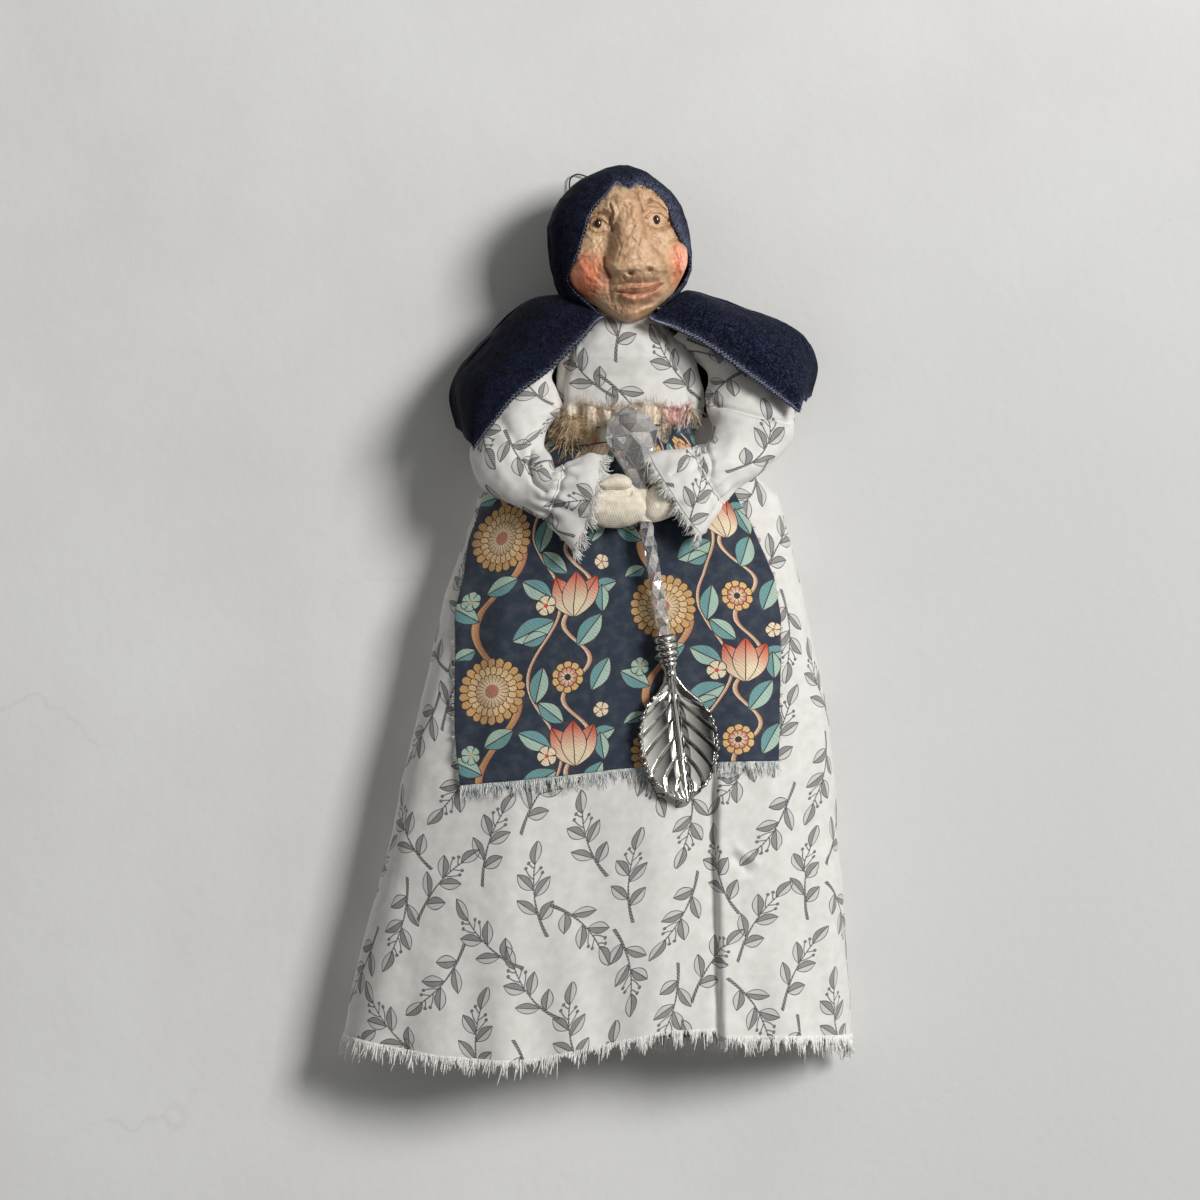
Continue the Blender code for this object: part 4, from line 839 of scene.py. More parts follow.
def headSurface(columns=340, rows=250):
    look = headLook
    spread = np.linspace(-1, 1, columns, endpoint=False)
    theta = np.pi * (0.62 * spread + 0.38 * spread ** 3)
    phi = np.linspace(-math.pi / 2 + 0.012, math.pi / 2 - 0.012, rows)
    theta, phi = np.meshgrid(theta, phi)
    up, across, front = np.sin(phi), np.cos(phi) * np.sin(theta), np.cos(phi) * np.cos(theta)
    low = np.maximum(0, -up)
    (mx, my, mz), (w, d, h) = look["middle"], look["size"]
    x = mx + w * across * (1 - 0.08 * low ** 2) + 0.15 * w * low ** 2
    y = my - d * front - 0.13 * d * low ** 2
    z = mz + h * up
    grid = np.stack([x, y, z], -1)
    u, v = toPicture(grid)
    facing = np.clip((front - 0.02) * 2.6, 0, 1)
    facing = facing * facing * (3 - 2 * facing)
    rise = sum(
        r * np.exp(-((u - cx) / rx) ** 2 - ((v - cy) / ry) ** 2) for cx, cy, rx, ry, r in look["swells"]
    )
    noseDown, *nose = np.array(look["nose"], float).T
    noseMiddle, noseHalf, noseRise = (np.interp(v, noseDown, row) for row in nose)
    reach = np.abs(u - noseMiddle) / noseHalf
    rise = rise + noseRise * (0.86 / (1 + reach ** 7.0) + 0.14 * np.exp(-1.6 * reach ** 2))
    cut = foldsAt(u, v, look["creases"])
    rise = rise + foldsAt(u, v, look["ridges"]) + cut
    lumps = roughness3d(grid, 240.0, 4, 3.0)
    fine = roughness3d(grid, 800.0, 3, 8.0)
    ridged = -np.abs(roughness3d(grid * np.array([1.0, 1.0, 0.8]), 430.0, 3, 5.0))
    rise = rise + 0.55 * lumps + 0.15 * fine + 0.42 * ridged
    grid[..., 1] -= 0.001 * rise * facing
    side = np.sign(across) * facing * np.clip(np.abs(across) * 1.3, 0, 1)
    grid[..., 0] += 0.001 * side * np.where(across > 0, 2.7, 1.6) * np.exp(-((v - 268) / 24) ** 2)
    grid[..., 0] += 0.0030 * side * np.exp(-((v - 300) / 14) ** 2)
    crown = np.clip((188 - v) / 14, 0, 1)[..., None]  # the crown stays clear of the hood
    grid[..., :2] -= 0.10 * crown * (grid[..., :2] - (mx, my))
    grid[..., 2] -= (
        0.0024 * np.clip((180 - v) / 13, 0, 1)
        + 0.0028 * np.clip((v - 296) / 16, 0, 1) * np.exp(-((u - 629) / 23) ** 2)
    )
    grid[..., 1] += 0.0014 * np.clip((181 - v) / 8, 0, 1)
    return grid, u, v, facing, cut, ridged + 0.5 * lumps


grid, u, v, facing, cut, hollows = headSurface()
head = mendMesh(clothFromGrid("carvedHead", grid, aroundRow=True), closeEnds)


def ovalMask(u, v, cx, cy, rx, ry, soft=0.35):
    reach = np.hypot((u - cx) / rx, (v - cy) / ry)
    return np.clip((1 + soft - reach) / (2 * soft), 0, 1)


addMask(
    head, "cheek",
    facing * np.maximum(ovalMask(u, v, 589, 278, 19, 21, 0.45), ovalMask(u, v, 679, 266, 13, 22, 0.4))
)
# painted highlight: the bulge of the right cheek, and more weakly the inner left cheek, are paler
addMask(
    head, "cheekHighlight",
    facing * np.maximum(ovalMask(u, v, 681.5, 266, 8, 16, 0.6), 0.5 * ovalMask(u, v, 606, 281, 7, 9, 0.8))
)
lipLine = np.minimum(
    lineReach(u, v, [(621, 290.4), (631, 288.6), (643, 288), (655, 283.6)]) / 2.6,
    lineReach(u, v, [(625, 296.4), (634, 297.6), (643, 296), (652, 290.6)]) / 3.4
)
addMask(head, "lip", facing * np.clip(1.5 - lipLine * 1.0, 0, 1))
addMask(
    head, "lid",
    facing * np.maximum(ovalMask(u, v, 599, 223.6, 8, 5.2, 0.5), ovalMask(u, v, 659, 220, 9.4, 5.6, 0.5))
)
# painted shade: the creases and hollows of the face get masks that darken them with the wash colour
addMask(head, "creaseShade", facing * np.clip(-cut * 0.62, 0, 1))
addMask(head, "hollowShade", np.clip(-hollows * 1.1 - 0.10, 0, 1))

paintedHead, tree, sockets = newMaterial("paintedApple", 0.5, coat=0.12)
sockets["Coat Roughness"].default_value = 0.35
place = objectPlace(tree)
blotch = noiseAt(place, 130.0, 6.0, roughness=0.65)
brush = noiseAt(vecCalc("MULTIPLY", place, (1.0, 1.0, 0.7)), 620.0, 5.0, distortion=1.6)
colour = mixColour(ramp(blotch, 0.35, 0.65), headLook["skin"], headLook["light"])
colour = mixColour(ramp(brush, 0.52, 0.72, 0.0, 0.24), colour, headLook["washAndShade"])
cheek = times(readMask(tree, "cheek"), ramp(blotch, 0.25, 0.6, 0.62, 0.9))
colour = mixColour(cheek, colour, headLook["cheek"])
# painted highlight on the cheeks
colour = mixColour(
    times(readMask(tree, "cheekHighlight"), ramp(brush, 0.3, 0.6, 0.75, 0.35)), colour, headLook["cheekHighlight"]
)
colour = mixColour(
    times(readMask(tree, "lip"), ramp(brush, 0.35, 0.65, 0.62, 0.25)), colour, headLook["lip"]
)
colour = mixColour(times(readMask(tree, "lid"), 0.5), colour, headLook["lid"])
# painted shade: the hollows and creases are darkened
colour = mixColour(times(readMask(tree, "hollowShade"), 0.42), colour, headLook["washAndShade"])
colour = mixColour(times(readMask(tree, "creaseShade"), 0.75), colour, headLook["washAndShade"])
tree.links.new(colour, sockets["Base Color"])
addBump(sockets, plus(brush, times(blotch, 0.6)), 0.5, 0.00025)
settle(head, paintedHead, "painted_apple", "head", "apple_head")

# eyes: small dark glass beads in the sockets
eyeLook = {"eye_bead_left": (598.4, 223.6, 0.00142), "eye_bead_right": (656.4, 219.9, 0.00150)}
beadGlass, tree, sockets = newMaterial("darkBead", 0.06, coat=1.0)
sockets["Coat Roughness"].default_value = 0.03
depthTone = noiseAt(objectPlace(tree), 500.0)
tree.links.new(mixColour(depthTone, rgb(16, 10, 8), rgb(62, 36, 22)), sockets["Base Color"])
for title, (ex, ey, radius) in eyeLook.items():
    near = np.argmin(np.where(facing > 0.5, np.hypot(u - ex, v - ey), 1e9))
    skinY = grid.reshape(-1, 3)[near, 1]
    middle = np.array(spot(ex, ey, (skinY + radius * 0.35) * 1000))
    lat = np.linspace(-math.pi / 2, math.pi / 2, 20)
    lon = np.arange(28) * 2 * math.pi / 28
    lat, lon = np.meshgrid(lat, lon, indexing="ij")
    ball = np.stack(
        [np.cos(lat) * np.sin(lon) * 0.9, -np.cos(lat) * np.cos(lon), np.sin(lat) * 1.12], -1
    ) * radius + middle
    bead = mendMesh(clothFromGrid(title.replace("eye_bead", "eyeBead"), ball, aroundRow=True), dropLoose)
    settle(bead, beadGlass, "eye_glass", "head", title)
print("head carved")

# hood

hoodLook = {
    "left": [
        (167.5, 619), (170, 606), (175.4, 594), (182, 581), (189.4, 571.3), (201.5, 559.4), (213, 552.2),
        (228.8, 547.3), (242, 547.5), (265, 550.9), (285, 556), (298, 563), (308, 574), (320, 585)
    ],
    "right": [
        (167.5, 628), (171.2, 638), (175, 646.5), (182.6, 658.5), (193.5, 671), (207.5, 680.6),
        (222.7, 686.6), (240.9, 690.2), (253, 692), (271, 691.2), (285, 685.5), (298, 677), (308, 667),
        (320, 659)
    ],
    "edge": [
        (605.5, 320), (597, 311.2), (588.5, 303.9), (576.4, 293), (568.3, 281.5), (570.3, 271.2),
        (576.4, 259), (581.2, 244.5), (586, 228.8), (589.7, 215.5), (598.2, 203.3), (606.9, 195),
        (612.2, 187.6), (616.4, 181.5), (622.4, 185.6), (629.7, 190), (634.5, 184), (642, 184.2),
        (650.5, 187.6), (661.2, 197.3), (668.5, 208.2), (672.1, 220.3), (675.8, 228.6), (680.6, 239.7),
        (685.5, 249.4), (689.2, 259), (689.7, 269), (686.9, 277.3), (681.8, 285.8), (673.3, 294.2),
        (666, 301.5), (656.4, 311.2), (649, 320),
    ],
    "cloth": 0.001, "middle": (632, 250),
}


def hoodPoint(theta, level):
    # level is a picture height at the hood's side
    left = atLevel(level, hoodLook["left"])
    right = atLevel(level, hoodLook["right"])
    half = (right - left) / 2 * pixel - hoodLook["cloth"] / 2
    low = np.clip((level - 285) / 35, 0, 1)
    depth = half * (0.885 + 0.26 * low)
    x = (
        viewX + ((left + right) / 2 - 600) * pixel
        + half * np.sign(np.sin(theta)) * np.abs(np.sin(theta)) ** 0.94
    )
    y = -0.0255 - depth * np.sign(np.cos(theta)) * np.abs(np.cos(theta)) ** 0.94
    return np.stack([x, y, viewZ - (level - 600) * pixel + 0 * x], -1)


def onHood(px, py):
    # the place on the hood's front at a picture place
    px, py = np.asarray(px, float), np.asarray(py, float)
    y = -0.040
    for _ in range(4):
        share = (away + y - planeY) / away
        level = 600 + (py - 600) * share
        left = atLevel(level, hoodLook["left"])
        right = atLevel(level, hoodLook["right"])
        middle, half = (left + right) / 2, (right - left) / 2 - hoodLook["cloth"] / 2 / pixel
        across = np.clip((600 + (px - 600) * share - middle) / half, -0.9995, 0.9995)
        point = hoodPoint(np.arcsin(np.sign(across) * np.abs(across) ** (1 / 0.94)), level)
        y = point[..., 1]
    return point


def makeHood():
    rows, columns = 190, 320
    t = np.linspace(0, 1, rows)
    theta = np.linspace(0, 2 * math.pi, columns, endpoint=False)
    bottom = 305.5 + 16 * np.clip(np.cos(theta), 0, 1) ** 3
    level = 167.6 + (bottom[None] - 167.6) * (0.3 * t ** 1.9 + 0.7 * t)[:, None]
    theta = np.broadcast_to(theta, level.shape)
    grid = hoodPoint(theta, level)
    u, v = toPicture(grid)
    edge = np.array(hoodLook["edge"])
    inside = np.zeros(u.shape, bool)
    loop = np.concatenate([edge, [(649, 345), (605, 345)]])
    for (ax, ay), (bx, by) in zip(loop, np.roll(loop, -1, 0)):
        inside ^= ((ay > v) != (by > v)) & (u < (bx - ax) * (v - ay) / (by - ay + 1e-9) + ax)
    frontal = np.cos(theta) > 0
    inside &= frontal
    keep = ~inside
    fine = throughPoints(edge, 700)
    border = keep & frontal & (
        np.roll(inside, 1, 0) | np.roll(inside, -1, 0) | np.roll(inside, 1, 1) | np.roll(inside, -1, 1)
    )
    for r, c in zip(*np.nonzero(border)):  # points beside the opening move onto its line
        k = np.argmin(np.hypot(fine[:, 0] - u[r, c], fine[:, 1] - v[r, c]))
        grid[r, c] = onHood(fine[k, 0], fine[k, 1])
    normals = gridNormals(grid, True)
    normals *= np.sign(
        normals[..., :1] * (grid[..., :1] + 0.0017) + normals[..., 1:2] * (grid[..., 1:2] + 0.0255)
    )
    low = np.clip((v - 215) / 70, 0, 1)
    leftSide = np.exp(-((theta - 4.9) / 0.42) ** 2)
    folds = (
        low * leftSide * (1.1 * np.sin(theta * 16 + 0.03 * v))
        + 0.5 * low * np.sin(theta * 9 + 1.0) * np.clip(-np.cos(theta) + 0.3, 0, 1)
    )
    folds += 0.45 * roughness3d(grid, 90.0, 3, 2.0)
    calm = np.where(frontal, np.clip(lineReach(u, v, [tuple(p) for p in edge]) / 10, 0, 1), 1.0)
    grid += normals * (0.001 * folds * calm)[..., None]
    piece = clothFromGrid("capeHood", grid, aroundRow=True, keep=keep)
    reach = lineReach(u, v, [tuple(p) for p in edge])
    # painted light: the worn rim is paler towards the right and the top, where the key lamp falls
    lit = np.clip((u - 600) / 60, 0.06, 1) * np.clip((330 - v) / 80, 0.2, 1)
    addMask(
        piece, "edgeWearAndLight",
        np.where(
            frontal, np.exp(-(reach / 7.0) ** 2) * lit + 0.14 * np.exp(-(reach / 18.0) ** 2) * lit, 0.0
        )
    )
    return mendMesh(piece, dropLoose)


hood = makeHood()
thicken(hood, hoodLook["cloth"])
settle(hood, capeCloth, "cape_cloth", "head", "hood")
print("hood made")

# threads: stitches and frayed edges


def frayPaths(edge, outward, count, length, seed, droop=0.25, spread=0.35, steps=5, wild=1.0):
    rng = np.random.default_rng(seed)
    place = np.sort(rng.random(count)) * (len(edge) - 1)
    i = np.minimum(place.astype(int), len(edge) - 2)
    f = (place - i)[:, None]
    start = edge[i] * (1 - f) + edge[i + 1] * f
    along = unit(edge[i + 1] - edge[i], 1e-12)
    out = unit(
        outward[i] + along * rng.normal(0, spread, (count, 1)) + rng.normal(0, 0.16 * wild, (count, 3))
    )
    tuft = 0.72 + 0.42 * np.sin(place * 0.9 + 2.2 * np.sin(place * 0.21 + seed))
    reach = length * ((0.45 + 0.75 * rng.random(count)) * tuft)[:, None, None]
    t = np.linspace(0, 1, steps)[None, :, None]
    bend = rng.normal(0, 0.28 * wild, (count, 1, 3)) + np.array([0, 0, -droop])
    return list(start[:, None] - out[:, None] * 0.0002 + reach * (out[:, None] * t + bend * t ** 2 * 0.6))


def whipStitches(edge, inner, lift, count, seed=1, slant=0.6):
    # thread that goes over an edge, from the cut side to a point inside, again and again
    rng = np.random.default_rng(seed)
    place = np.linspace(0.5, len(edge) - 1.5, 2 * count)
    place[1::2] += slant
    place = np.clip(place + rng.normal(0, 0.12, 2 * count), 0, len(edge) - 1.001)
    i = place.astype(int)
    f = (place - i)[:, None]
    outer, inside, up = (rows[i] * (1 - f) + rows[i + 1] * f for rows in (edge, inner, lift))
    inside = outer + (inside - outer) * rng.uniform(0.75, 1.05, (2 * count, 1))
    knots = np.where((np.arange(2 * count) % 2 == 0)[:, None], outer, inside)
    path = []
    for k in range(len(knots) - 1):
        path += [knots[k] + up[k] * 0.6, (knots[k] + knots[k + 1]) / 2 + up[k]]
    return np.array(path)


stitchLift = (0.0, -0.00066, 0.0)


def hoodEdgeThreads():
    fine = throughPoints(hoodLook["edge"], 420)
    along = np.gradient(fine, axis=0)
    outwards = unit(np.stack([along[:, 1], -along[:, 0]], -1))
    outwards *= np.sign(((fine - hoodLook["middle"]) * outwards).sum(1))[:, None]
    edge = onHood(fine[:, 0], fine[:, 1])
    inner = onHood(*(fine + outwards * 3.4).T)
    stitch = whipStitches(edge, inner, np.tile(stitchLift, (len(fine), 1)), 128, 4)
    outward = unit(edge - inner)
    frays = frayPaths(edge, outward, 420, 0.0012, 5, 0.0, 0.8)
    # painted shade: a band of longer dark threads along the top of the opening stands for the shadow under
    # the hood's edge
    top = np.flatnonzero(fine[:, 1] < 198)
    top = slice(top[0], top[-1])
    frays += frayPaths(edge[top] + (0, 0.0005, 0), outward[top], 420, 0.0026, 6, 0.1, 0.5)
    notch = np.flatnonzero((fine[:, 1] < 200) & (fine[:, 0] < 640))
    notch = slice(notch[0], notch[-1])
    pale = frayPaths(edge[notch] - (0, 0.0004, 0), outward[notch], 110, 0.0017, 7, 0.0, 0.9)
    return stitch, frays, pale


stitch, frays, pale = hoodEdgeThreads()
hoodStitches = tubesMesh("hoodStitches", [stitch], 0.00008, 5)
hoodNotchFray = settle(tubesMesh("hoodNotchFray", pale, 0.00006, 3), greyThread, "cape_cloth", "head")
settle(hoodStitches, greyThread, "cotton_thread", "head")
hoodFrayAndShade = settle(tubesMesh("hoodFrayAndShade", frays, 0.00006, 3), navyFray, "cape_cloth", "head")

# capelet

capeletLook = {
    "cloth": 0.001,
    # columns from the left front edge over the shoulder to the middle of the back, seven rows down each
    "left": [
        [
            (604, 317, -38), (597, 322, -38.5), (580, 342, -39), (549, 371.5, -41), (517, 396, -43),
            (493, 424, -43), (474, 447, -41.5)
        ],
        [
            (588, 310, -35), (577, 307, -35), (552, 318, -37), (522, 348, -40), (492, 378, -41),
            (474, 409, -40), (469, 441, -37.5)
        ],
        [
            (569.5, 308, -25), (556, 297.5, -24), (532, 301.5, -22.5), (502, 328, -21), (469, 363.5, -20),
            (457, 392, -20), (464, 432, -20)
        ],
        [
            (577, 311, -12), (560, 306, -9), (535, 312, -7), (505, 338, -5.5), (478, 372, -5),
            (466, 400, -5), (471, 426, -6)
        ],
    ],
    "back": [
        (620, 312, -4.0), (620, 318, -2.6), (620, 332, -2.0), (620, 357, -1.8), (620, 382, -1.8),
        (620, 407, -2.0), (620, 433, -2.2)
    ],
    "right": [
        [
            (648.5, 317, -38), (656, 322, -38.5), (672, 328, -39), (705, 344.5, -40.5), (740, 369.5, -42),
            (771, 391.5, -42), (799.5, 412, -39.5)
        ],
        [
            (664, 308, -35), (674, 303, -35), (692, 303, -36), (730, 322, -38), (766, 345, -39),
            (789, 370, -38), (802, 400, -35)
        ],
        [
            (672, 308, -25), (684, 294, -24), (699, 294.5, -22.5), (744, 310, -21), (792, 330, -20),
            (809.5, 362, -20), (804.5, 400, -20)
        ],
        [
            (668, 311, -12), (688, 304, -9), (705, 305, -7), (740, 320, -5.5), (782, 345, -5),
            (797, 372, -5), (793, 397, -6)
        ],
    ],
}


def gridFromColumns(columns, rows, across):
    points = np.array([[spot(*place) for place in column] for column in columns])
    down = throughPoints(points.transpose(1, 0, 2), rows)
    return throughPoints(down.transpose(1, 0, 2), across).transpose(1, 0, 2)


columns = [*capeletLook["left"], capeletLook["back"], *reversed(capeletLook["right"])]
grid = gridFromColumns(columns, 150, 340)
normals = gridNormals(grid)
normals *= np.where(normals[..., 1:2] * (grid[..., 1:2] + 0.020) < 0, -1.0, 1.0)
u, v = toPicture(grid)
capeFolds = [
    ([(560, 305), (520, 340), (480, 390)], 14, 0.5), ([(690, 305), (740, 340), (790, 380)], 16, 0.5),
    ([(640, 312), (700, 330)], 5, -0.4)
]
fromFront = np.minimum(np.arange(340), np.arange(340)[::-1])
rise = (
    (0.7 * roughness3d(grid, 55.0, 3, 11.0) + foldsAt(u, v, capeFolds))
    * np.clip(fromFront / 12.0, 0.1, 1)[None]
)
rise = np.where(grid[..., 1] > -0.012, rise * 0.4 - 0.2, rise)
grid = grid + normals * (0.001 * rise)[..., None]
grid[..., 1] = np.minimum(grid[..., 1], -0.0014)
capelet = clothFromGrid("shoulderCape", grid)
fromHem = np.arange(150)[::-1] / 3.0
edgeWearAndLight = 0.7 * np.exp(-np.minimum(fromFront[None] / 7.0, fromHem[:, None]) ** 2)
# painted light: the worn edges are paler towards the right, where the key lamp falls
addMask(capelet, "edgeWearAndLight", edgeWearAndLight * np.clip((u - 420) / 300, 0.3, 1))
thicken(capelet, capeletLook["cloth"])
settle(capelet, capeCloth, "cape_cloth", "body", "capelet")
paths, frays = [], []
for edgeColumn, innerColumn, count, seed in ((0, 6, 58, 21), (-1, -7, 70, 22)):
    edge, inner = grid[:, edgeColumn], grid[:, innerColumn]
    paths.append(whipStitches(edge, inner, np.tile(stitchLift, (len(edge), 1)), count, seed, 0.25))
    frays += frayPaths(edge, unit(edge - inner), 260, 0.0012, seed + 5, 0.1, 0.7)
frays += frayPaths(grid[-1], unit(grid[-1] - grid[-4]), 420, 0.0009, 31, 0.1, 0.8)
for column in (100, 257):  # loose fibres over the shoulders
    frays += frayPaths(grid[2:, column], normals[2:, column], 90, 0.0005, 33, 0.0, 0.9)
capeStitches = settle(
    tubesMesh("capeStitches", paths, (0.00009, 0.00012), 5), greyThread, "cotton_thread", "body"
)
capeFray = settle(tubesMesh("capeFray", frays, 0.00006, 3), navyFray, "cape_cloth", "body")
print("capelet made")

# stuffed body and bodice

bodyLook = {
    "top": -0.0503, "length": 0.072, "width": 0.042, "depth": 0.0245, "y": -0.0175, "neckY": -0.023,
    "down": (0, 0.06, 0.12, 0.18, 0.27, 0.40, 0.54, 0.68, 0.84, 0.94, 1),
    "girth": (0.36, 0.42, 0.70, 0.90, 1, 1, 0.95, 0.98, 1, 0.84, 0.5),
}
bodiceLook = {
    "ease": 0.0019, "cloth": 0.0005, "bottom": -0.0872,
    "girth": (0.42, 0.64, 0.86, 0.97, 1, 1, 0.95, 0.98, 1, 0.84, 0.5),
    "folds": [
        ([(572, 350), (566, 372), (562, 395), (560, 420)], 2.2, -1.0),
        ([(578, 350), (572, 380), (569, 420)], 4, 0.5),
        ([(668, 334), (674, 360), (681, 382), (684, 425)], 2.0, -1.3),
        ([(676, 330), (684, 360), (692, 390), (696, 425)], 3.2, 0.9),
        ([(655, 322), (665, 335), (668, 350)], 2.0, -0.6), ([(640, 319), (646, 327), (654, 326)], 1.6, 0.7),
        ([(618, 322), (632, 330), (642, 330)], 1.6, 0.3),
        ([(600, 405), (603, 425), (601, 445)], 3, -0.5), ([(640, 408), (643, 425)], 4, -0.4),
    ],
}


def bodyRing(z, lift, count, shape=None):
    look = bodyLook
    down = (look["top"] - z) / look["length"]
    girth = np.interp(down, look["down"], shape or look["girth"])
    halfWidth, halfDepth = girth * look["width"] / 2 + lift, girth * look["depth"] / 2 + lift
    neck = max(0.0, 1 - down / look["down"][4])
    y = look["y"] + (look["neckY"] - look["y"]) * neck
    angle = np.linspace(0, 2 * math.pi, count, endpoint=False) + math.pi / 2
    c, s = np.cos(angle), np.sin(angle)
    power = 2 / 2.3
    return np.stack(
        [
            halfWidth * np.sign(c) * np.abs(c) ** power, y + halfDepth * np.sign(s) * np.abs(s) ** power,
            np.full(count, z)
        ],
        -1
    )


def clothUV(grid, originX=0.0, originY=0.0):
    # cloth places in metres: across by the length of each row from its front, down by height along the
    # middle
    steps = np.linalg.norm(np.diff(np.concatenate([grid, grid[:, :1]], 1), axis=1), axis=-1)
    across = np.concatenate([np.zeros((len(grid), 1)), np.cumsum(steps, 1)], 1)
    middle = grid.shape[1] // 2
    across = across - across[:, middle:middle + 1]
    down = np.concatenate([[0], np.cumsum(np.linalg.norm(np.diff(grid[:, middle], axis=0), axis=-1))])
    return np.stack([across + originX, np.broadcast_to(-down[:, None], across.shape) + originY], -1)


def bodyNormals(grid):
    normals = gridNormals(grid, True)
    outward = normals[..., :1] * grid[..., :1] + normals[..., 1:2] * (grid[..., 1:2] - bodyLook["y"])
    return normals * np.sign(outward)


heights = np.linspace(bodyLook["top"] + 0.0001, bodyLook["top"] - bodyLook["length"], 60)
grid = np.array([bodyRing(z, 0.0, 120) for z in heights])
normals = bodyNormals(grid)
grid = grid + normals * (0.0004 * roughness3d(grid, 130.0, 3, 4.0) - 0.0003)[..., None]
stuffedBody = mendMesh(clothFromGrid("stuffedBody", grid, aroundRow=True), closeEnds)
settle(stuffedBody, muslin, "stuffed_muslin", "body", "torso")

# four rows of collar draw in to the neck, above the bodice
rings = [(-0.0478, 0.0012), (-0.0486, 0.0010), (-0.0495, 0.0008), (-0.0504, 0.0004)]
rings += [(z, 0.0) for z in np.linspace(-0.0512, bodiceLook["bottom"], 110)]
grid = np.array([bodyRing(z, bodiceLook["ease"] - inward, 280, bodiceLook["girth"]) for z, inward in rings])
normals = bodyNormals(grid)
u, v = toPicture(grid)
frontal = np.clip(-(grid[..., 1] - bodyLook["y"]) * 300, 0, 1)
waistGathers = (
    np.sin(np.arctan2(grid[..., 0], -(grid[..., 1] + 0.0175)) * 14) * np.clip((v - 395) / 40, 0, 1)
)
rise = (
    foldsAt(u, v, bodiceLook["folds"]) * frontal + 0.5 * roughness3d(grid, 100.0, 3, 9.0)
    + 0.25 * waistGathers
)
rise *= np.concatenate([np.zeros(4), np.linspace(0.3, 1, 12), np.ones(98)])[:, None]
grid[..., 0] += 0.0034 * np.clip((u - 655) / 30, 0, 1) * np.exp(-((v - 405) / 42) ** 2) * frontal
grid = grid + normals * (0.001 * rise)[..., None]
bodice = clothFromGrid("dressBodice", grid, clothUV(grid, 0.0105, 0.012), aroundRow=True)
thicken(bodice, bodiceLook["cloth"])
settle(bodice, dressCloth, "dress_cotton", "body", "bodice")
print("body dressed")

# skirt

skirtLook = {
    "cloth": 0.0005, "sideY": -0.012, "depth": 0.043, "power": 2.3, "waist": -0.0875,
    "left": [
        (430, 553), (461, 517), (498, 481), (540, 466), (600, 446), (660, 433), (720, 420), (795, 402),
        (870, 386), (915, 374), (960, 362), (1000, 352), (1055, 342)
    ],
    "right": [
        (430, 697), (461, 734), (498, 778), (540, 790), (600, 803), (660, 815), (720, 827), (795, 834),
        (870, 838), (960, 845), (1000, 848), (1055, 850)
    ],
    "hem": [
        (342, 1036), (390, 1045), (440, 1053), (500, 1057), (530, 1056), (600, 1042), (660, 1028),
        (716, 1026), (724, 1033), (780, 1034), (850, 1036)
    ],
    "frontDown": (0, 0.05, 0.11, 0.18, 0.28, 0.47, 0.71, 0.85, 1),
    "front": (0.755, 0.81, 0.85, 0.875, 0.9, 0.935, 0.97, 0.985, 1),
    "backDown": (0.0, 0.05, 0.11, 1.0), "back": (-0.0024, -0.0012, -0.0004, -0.0004),
    "folds": [
        ([(455, 600), (430, 720), (405, 850), (385, 1000)], 16, 1.2),
        ([(520, 760), (505, 900), (500, 1050)], 26, 1.3), ([(590, 800), (590, 900), (600, 1040)], 22, -0.9),
        ([(655, 780), (660, 900), (662, 1030)], 20, 0.9),
        ([(770, 780), (776, 900), (782, 1040)], 18, 0.6), ([(820, 700), (826, 850), (832, 1040)], 9, 0.9),
        ([(734, 858), (746, 870)], 4.5, -1.5), ([(737, 848), (756, 863)], 3, 0.9),
        ([(747, 877), (728, 884)], 3.5, 0.7), ([(742, 905), (734, 930)], 5, -0.5),
    ],
    # where the right panel laps over the left one
    "pleat": [(735, 716.5), (850, 717), (940, 719.5), (1045, 722)],
}


